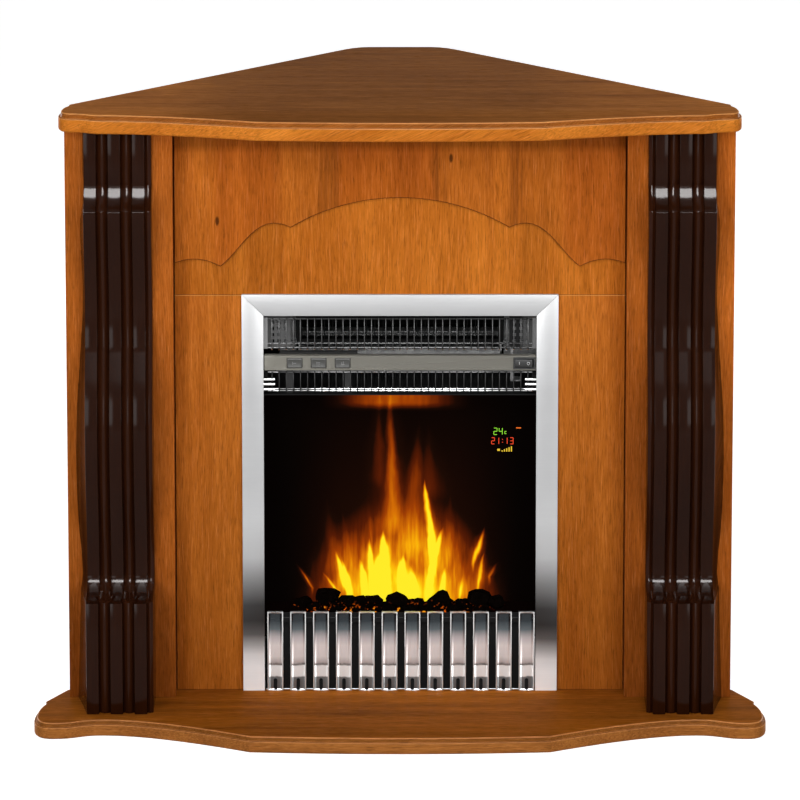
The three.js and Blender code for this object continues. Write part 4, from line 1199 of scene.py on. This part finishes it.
def rocker_key():
    """A rocker with a raised bar on its pressed half and a ring on its raised half."""
    key = sewn_copy("power_rocker", "power_rocker_key")
    bevelled(key, 0.0004, 2, 20.0)
    painted(key, black_plastic)
    smoothed(key, 30.0)
    low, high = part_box("power_rocker")
    middle = (low + high) / 2
    reach = (high.x - low.x) / 4
    marks = mark_bars(middle.x - reach, ROCKER_BAR_AT, middle.z, ((0.0, 0.0, 0.0008, 0.0048),))
    ring = started(
        "ring",
        bpy.ops.mesh.primitive_torus_add,
        major_radius=0.0021,
        minor_radius=0.0004,
        major_segments=24,
        minor_segments=8,
        location=(middle.x + reach + 0.0004, ROCKER_RING_AT, middle.z),
        rotation=(math.pi / 2, 0.0, -ROCKER_ANGLE),
    )
    for mark in (*marks, ring):
        painted(mark, mark_paint)
    key = joined([key, *marks, ring], "power_rocker_key")
    seated(key, "black_plastic", "power_rocker", body="power_rocker")


eased_node("control_strip", "olive_control_strip", "olive", olive, 0.0003, 40.0, 30.0)
for button in KEY_MARKS:
    push_button(button)
rocker_key()

# ---------------------------------------------------------------- clock on the flame screen

SEGMENTS = {  # of each digit: top, upper left, upper right, middle, lower left, lower right, foot
    "1": "0010010",
    "2": "1011101",
    "3": "1011011",
    "4": "0111010",
}


def lit_finish(name, colour):
    """A display segment that shines, a little uneven."""
    lit = Finish(name, specular=0.1, roughness=0.6)
    grain = lit.noise(lit.place(), 700.0, detail=1.0)
    lit.look(base_color=grey(12), emission_color=lit.dimmed(colour, 0.8 + grain * 0.4))
    return lit.look(emission_strength=1.0)


def seven_segments(figure, left, foot, wide, tall, stroke):
    """Bars (across, up, wide, tall) of one digit, from its lower left corner."""
    half = tall / 2
    places = (
        (wide / 2, tall, wide, stroke),
        (0.0, half * 1.5, stroke, half),
        (wide, half * 1.5, stroke, half),
        (wide / 2, half, wide, stroke),
        (0.0, half * 0.5, stroke, half),
        (wide, half * 0.5, stroke, half),
        (wide / 2, 0.0, wide, stroke),
    )
    lit = [place for place, on in zip(places, SEGMENTS[figure]) if on == "1"]
    return [(left + x, foot + z, w - stroke * 0.2, h - stroke * 0.2) for x, z, w, h in lit]


def display_row(name, bars, finish):
    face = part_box("flame_screen")[0].y - 0.0003
    marks = mark_bars(0.0, face, 0.0, bars)
    for mark in marks:
        painted(mark, finish)
    seated(joined(marks, name), "screen")


STROKE = 0.0013
temperature = []
for figure, left in zip("24", (0.1460, 0.1542)):
    temperature += seven_segments(figure, left, 0.4235, 0.0050, 0.0105, STROKE)
# a small c after the figures
temperature += [
    (0.1642, 0.4250, 0.0028, 0.0009),
    (0.1630, 0.4268, 0.0009, 0.0034),
    (0.1642, 0.4286, 0.0028, 0.0009),
]
hour = []
for figure, left in zip("2113", (0.1425, 0.1492, 0.1622, 0.1715)):
    hour += seven_segments(figure, left, 0.4085, 0.0046, 0.0100, STROKE)
hour += [(0.1595, height, 0.0012, 0.0012) for height in (0.4112, 0.4158)]
rising = [(0.1535, 0.3990, 0.0042, 0.0034)]
for bar in range(5):
    rising.append((0.1590 + 0.0036 * bar, 0.3972 + 0.0008 * bar, 0.0018, 0.0020 + 0.0016 * bar))
display_row("temperature_digits", temperature, lit_finish("green_light", tone(150, 236, 50)))
display_row("clock_digits", hour, lit_finish("red_light", tone(255, 70, 20)))
display_row("power_bars", rising, lit_finish("yellow_light", tone(240, 200, 40)))
display_row(
    "mode_dash", [(0.1845, 0.4342, 0.0076, 0.0018)], lit_finish("orange_light", tone(240, 110, 20))
)

# ---------------------------------------------------------------- coals

# lumps on the ember bed: across, back from the tray's front, top, and radius, in millimetres
LUMPS = (
    (-151, 32, 166, 12),
    (-131, 18, 160, 11),
    (-112, 30, 180, 15),
    (-98, 14, 161, 12),
    (-84, 30, 168, 12),
    (-66, 30, 166, 12),
    (-60, 12, 158, 10),
    (-43, 30, 168, 13),
    (-24, 16, 161, 12),
    (-5, 30, 172, 14),
    (14, 14, 158, 11),
    (22, 32, 163, 12),
    (44, 24, 160, 13),
    (66, 30, 176, 16),
    (82, 12, 158, 11),
    (99, 30, 163, 12),
    (122, 28, 179, 15),
    (128, 12, 160, 11),
    (149, 28, 169, 12),
)


ROCK_SHARES = (2.7, 2.0, 2.1)  # width, depth and height of a rock by its radius


def coal_rocks():
    """Angular lumps: balls broken up by a cell pattern and cut down to flat facets."""
    cells = bpy.data.textures.new("rock_cells", "VORONOI")
    cells.noise_scale = 0.95
    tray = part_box("ember_tray")[0].y
    rocks = []
    for turn, (across, back, top, radius) in enumerate(LUMPS):
        rock = started(
            "rock",
            bpy.ops.mesh.primitive_ico_sphere_add,
            subdivisions=4,
            radius=1.0,
            rotation=(turn * 1.3, turn * 2.1, turn * 0.7),
        )
        rock.location = (turn * 3.7, 0.0, 0.0)
        broken = rock.modifiers.new("broken", "DISPLACE")
        broken.texture = cells
        broken.texture_coords = "GLOBAL"
        broken.strength = 0.9
        broken.mid_level = 0.5
        facets = rock.modifiers.new("facets", "DECIMATE")
        facets.ratio = 0.09
        pick(rock)
        bpy.ops.object.modifier_apply(modifier="broken")
        bpy.ops.object.modifier_apply(modifier="facets")
        rock.location = (0.0, 0.0, 0.0)
        spans = [[vertex.co[axis] for vertex in rock.data.vertices] for axis in range(3)]
        size = [max(span) - min(span) for span in spans]
        rock.scale = [radius * share * MM / span for share, span in zip(ROCK_SHARES, size)]
        settle(rock)
        crest = max(vertex.co.z for vertex in rock.data.vertices)
        rock.location = (across * MM, tray + (back + 3) * MM, top * MM - crest)
        rocks.append(bevelled(settle(rock), 0.0004, 1, 25.0))
    seated(painted(joined(rocks, "coal_rocks"), coal), "coal", "coal_lumps")


# ---------------------------------------------------------------- chrome fret

FRET_BARS = 12
FRET_PITCH = 0.03562
FRET_BAR_WIDE = 0.0244
BAR_THICK = 0.007
BAR_RIM = 0.0017
BAR_SLOPE = 0.0006
# a bar's trough: place across as a share of its half width, and depth
TROUGH = ((0.0, 0.0012), (0.35, 0.001056), (-0.35, 0.001056), (0.68, 0.00066), (-0.68, 0.00066))
# heights above a bar's foot: the ledge's two faces, the slot's two ends
LEDGE = (0.0412, 0.0426)
SLOT = (0.0008, 0.0195)
SLOT_HALF = 0.0027
INLAY = (0.0004, 0.0045)  # how far behind the front ledge and slot begin and end


def hollowed(bar, middle, half, low, high):
    """Presses a trough into the bar's front between two heights."""
    lines = [(middle + share * half, press) for share, press in TROUGH]
    for at, _ in lines:
        choose(bar, lambda face: face.normal.y < -0.9)
        bpy.ops.mesh.bisect(plane_co=(at, 0.0, 0.0), plane_no=(1.0, 0.0, 0.0))
        done()
    pick(bar)
    bpy.ops.object.mode_set(mode="EDIT")
    bpy.ops.mesh.select_mode(type="VERT")
    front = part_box("fret")[0].y + BAR_THICK / 2
    for at, press in lines:
        bpy.ops.mesh.select_all(action="DESELECT")
        bpy.ops.object.mode_set(mode="OBJECT")
        for vertex in bar.data.vertices:
            near = abs(vertex.co.x - at) < 1e-4 and vertex.co.y < front
            vertex.select = near and low < vertex.co.z < high
        bpy.ops.object.mode_set(mode="EDIT")
        bpy.ops.transform.translate(value=(0.0, press, 0.0))
    done()


def inlay(name, low, middle, half, heights):
    """A block let into a bar's front, between two heights above its foot."""
    return brick(
        name,
        (middle - half, low[1] + INLAY[0], low[2] + heights[0]),
        (middle + half, low[1] + INLAY[1], low[2] + heights[1]),
    )


def fret_bar(low, high):
    """One bar: a bright rim round a hollow face, a ledge, and a foot with a round-topped slot."""
    wide = high[0] - low[0]
    middle = (low[0] + high[0]) / 2
    bar = brick("fret_bar", low, high)
    choose(bar, lambda face: face.normal.y < -0.9)
    bpy.ops.mesh.inset(thickness=BAR_RIM, depth=0.0)
    bpy.ops.mesh.inset(thickness=BAR_SLOPE, depth=-0.0007)
    done()
    hollowed(bar, middle, wide / 2 - BAR_RIM - BAR_SLOPE, low[2] + 0.001, high[2] - 0.001)
    bevelled(bar, 0.0003, 2, 50.0)
    smoothed(bar, 40.0)
    painted(bar, chrome, bar_rim)
    rim = BAR_RIM + 0.0002
    for face in bar.data.polygons:
        edge_wise = abs(face.center.x - middle) > wide / 2 - rim
        end_wise = min(face.center.z - low[2], high[2] - face.center.z) < rim
        face.material_index = 1 if edge_wise or end_wise else 0
    # the ledge carries the painted shadow line
    ledge = inlay("ledge", low, middle, wide * 0.40, LEDGE)
    painted(smoothed(bevelled(ledge, 0.0006, 2)), shaded_ledge_chrome)
    slot = inlay("slot", low, middle, SLOT_HALF, SLOT)
    choose(slot, lambda edge: edge_runs_back(slot, edge, low[2] + SLOT[1] - 0.0005), "EDGE")
    bpy.ops.mesh.bevel(offset=SLOT_HALF - 0.0001, segments=6)
    done()
    painted(smoothed(slot), black_steel)
    return joined([bar, ledge, slot], "fret_bar")


def edge_runs_back(piece, edge, above):
    """Whether an edge lies along y above a height."""
    first, second = (piece.data.vertices[i].co for i in edge.vertices)
    return abs(first.y - second.y) > 0.001 and first.z > above and second.z > above


def chrome_fret():
    low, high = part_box("fret")
    left = high.x - FRET_BAR_WIDE - (FRET_BARS - 1) * FRET_PITCH
    first = fret_bar((left, low.y, low.z), (left + FRET_BAR_WIDE, low.y + BAR_THICK, high.z))
    bars = repeated(first, [(step * FRET_PITCH, 0.0, 0.0) for step in range(1, FRET_BARS)])
    rails = ((low.z, low.z + 0.0012, foot_grey), (high.z - 0.018, high.z - 0.01, black_steel))
    for z0, z1, finish in rails:
        rail = brick("fret_rail", (low.x + 0.001, high.y - 0.003, z0), (high.x - 0.001, high.y, z1))
        bars.append(painted(bevelled(rail, 0.0004, 1), finish))
    seated(joined(bars, "chrome_fret_bars"), "chrome", "fret")


coal_rocks()
chrome_fret()

# ---------------------------------------------------------------- screws at the back


SCREW_HEAD = 0.0036  # radius
SCREW_HEAD_DEEP = 0.0016


def pan_screw(name, x, y, z):
    """A pan-head screw with a round recess, driven in from behind."""
    head = started(
        name,
        bpy.ops.mesh.primitive_cylinder_add,
        vertices=20,
        radius=SCREW_HEAD,
        depth=SCREW_HEAD_DEEP,
        location=(x, y + SCREW_HEAD_DEEP / 2, z),
        rotation=(-math.pi / 2, 0.0, 0.0),
    )
    choose(head, lambda face: face.normal.y > 0.9)
    bpy.ops.mesh.inset(thickness=SCREW_HEAD * 0.45, depth=0.0002)
    bpy.ops.mesh.inset(thickness=SCREW_HEAD * 0.12, depth=-0.0006)
    done()
    return smoothed(bevelled(head, 0.0002, 2, 50.0), 40.0)


def screw_field(name, node, places):
    """Equal screws in a node's rear face: places are shares of its width and height."""
    low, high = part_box(node)
    spots = [(low.x + u * (high.x - low.x), low.z + v * (high.z - low.z)) for u, v in places]
    x0, z0 = spots[0]
    offsets = [(x - x0, 0.0, z - z0) for x, z in spots[1:]]
    heads = repeated(pan_screw(name, x0, high.y, z0), offsets)
    seated(painted(joined(heads, name), rim_chrome), "zinc")


screw_field(
    "case_back_screws", "case_back", [(u, v) for u in (0.02, 0.5, 0.98) for v in (0.015, 0.5, 0.985)]
)
screw_field(
    "rear_board_screws", "rear_board", [(u, v) for u in (0.1, 0.9) for v in (0.03, 0.35, 0.66, 0.97)]
)

# ---------------------------------------------------------------- nodes kept as they are

DRESS = {
    post_wood: (
        "left_post_face",
        "right_post_face",
        "left_inner_cheek",
        "right_inner_cheek",
        "left_outer_cheek",
        "right_outer_cheek",
        "left_side_panel",
        "right_side_panel",
    ),
    raw_board: ("rear_board", "top_rail", "joint_rail"),
    rim_chrome: ("flicker_spindle",),
    vent_grey: ("left_guard_end", "right_guard_end"),
    black_steel: (
        "heating_element",
        "fan_housing",
        "divider_plate",
        "case_left_wall",
        "case_right_wall",
        "case_roof",
        "fan_motor",
        "fret_back",
    ),
    zinc: (
        "case_floor",
        "case_back",
        "fan_rotor",
        "fan_bearing",
        "flicker_motor",
    ),
    black_plastic: (
        "switch_block",
        "rocker_housing",
        "display_module",
        "spindle_bearing",
        "thermal_cutout",
        "cable_gland",
    ),
    grey_plastic: ("terminal_block",),
    flames: ("flame_screen",),
    embers: ("ember_tray",),
    circuit: ("led_strip", "control_board"),
}
for finish, dressed in DRESS.items():
    for node in dressed:
        for place in nodes[node].material_slots:
            place.material = finish.material
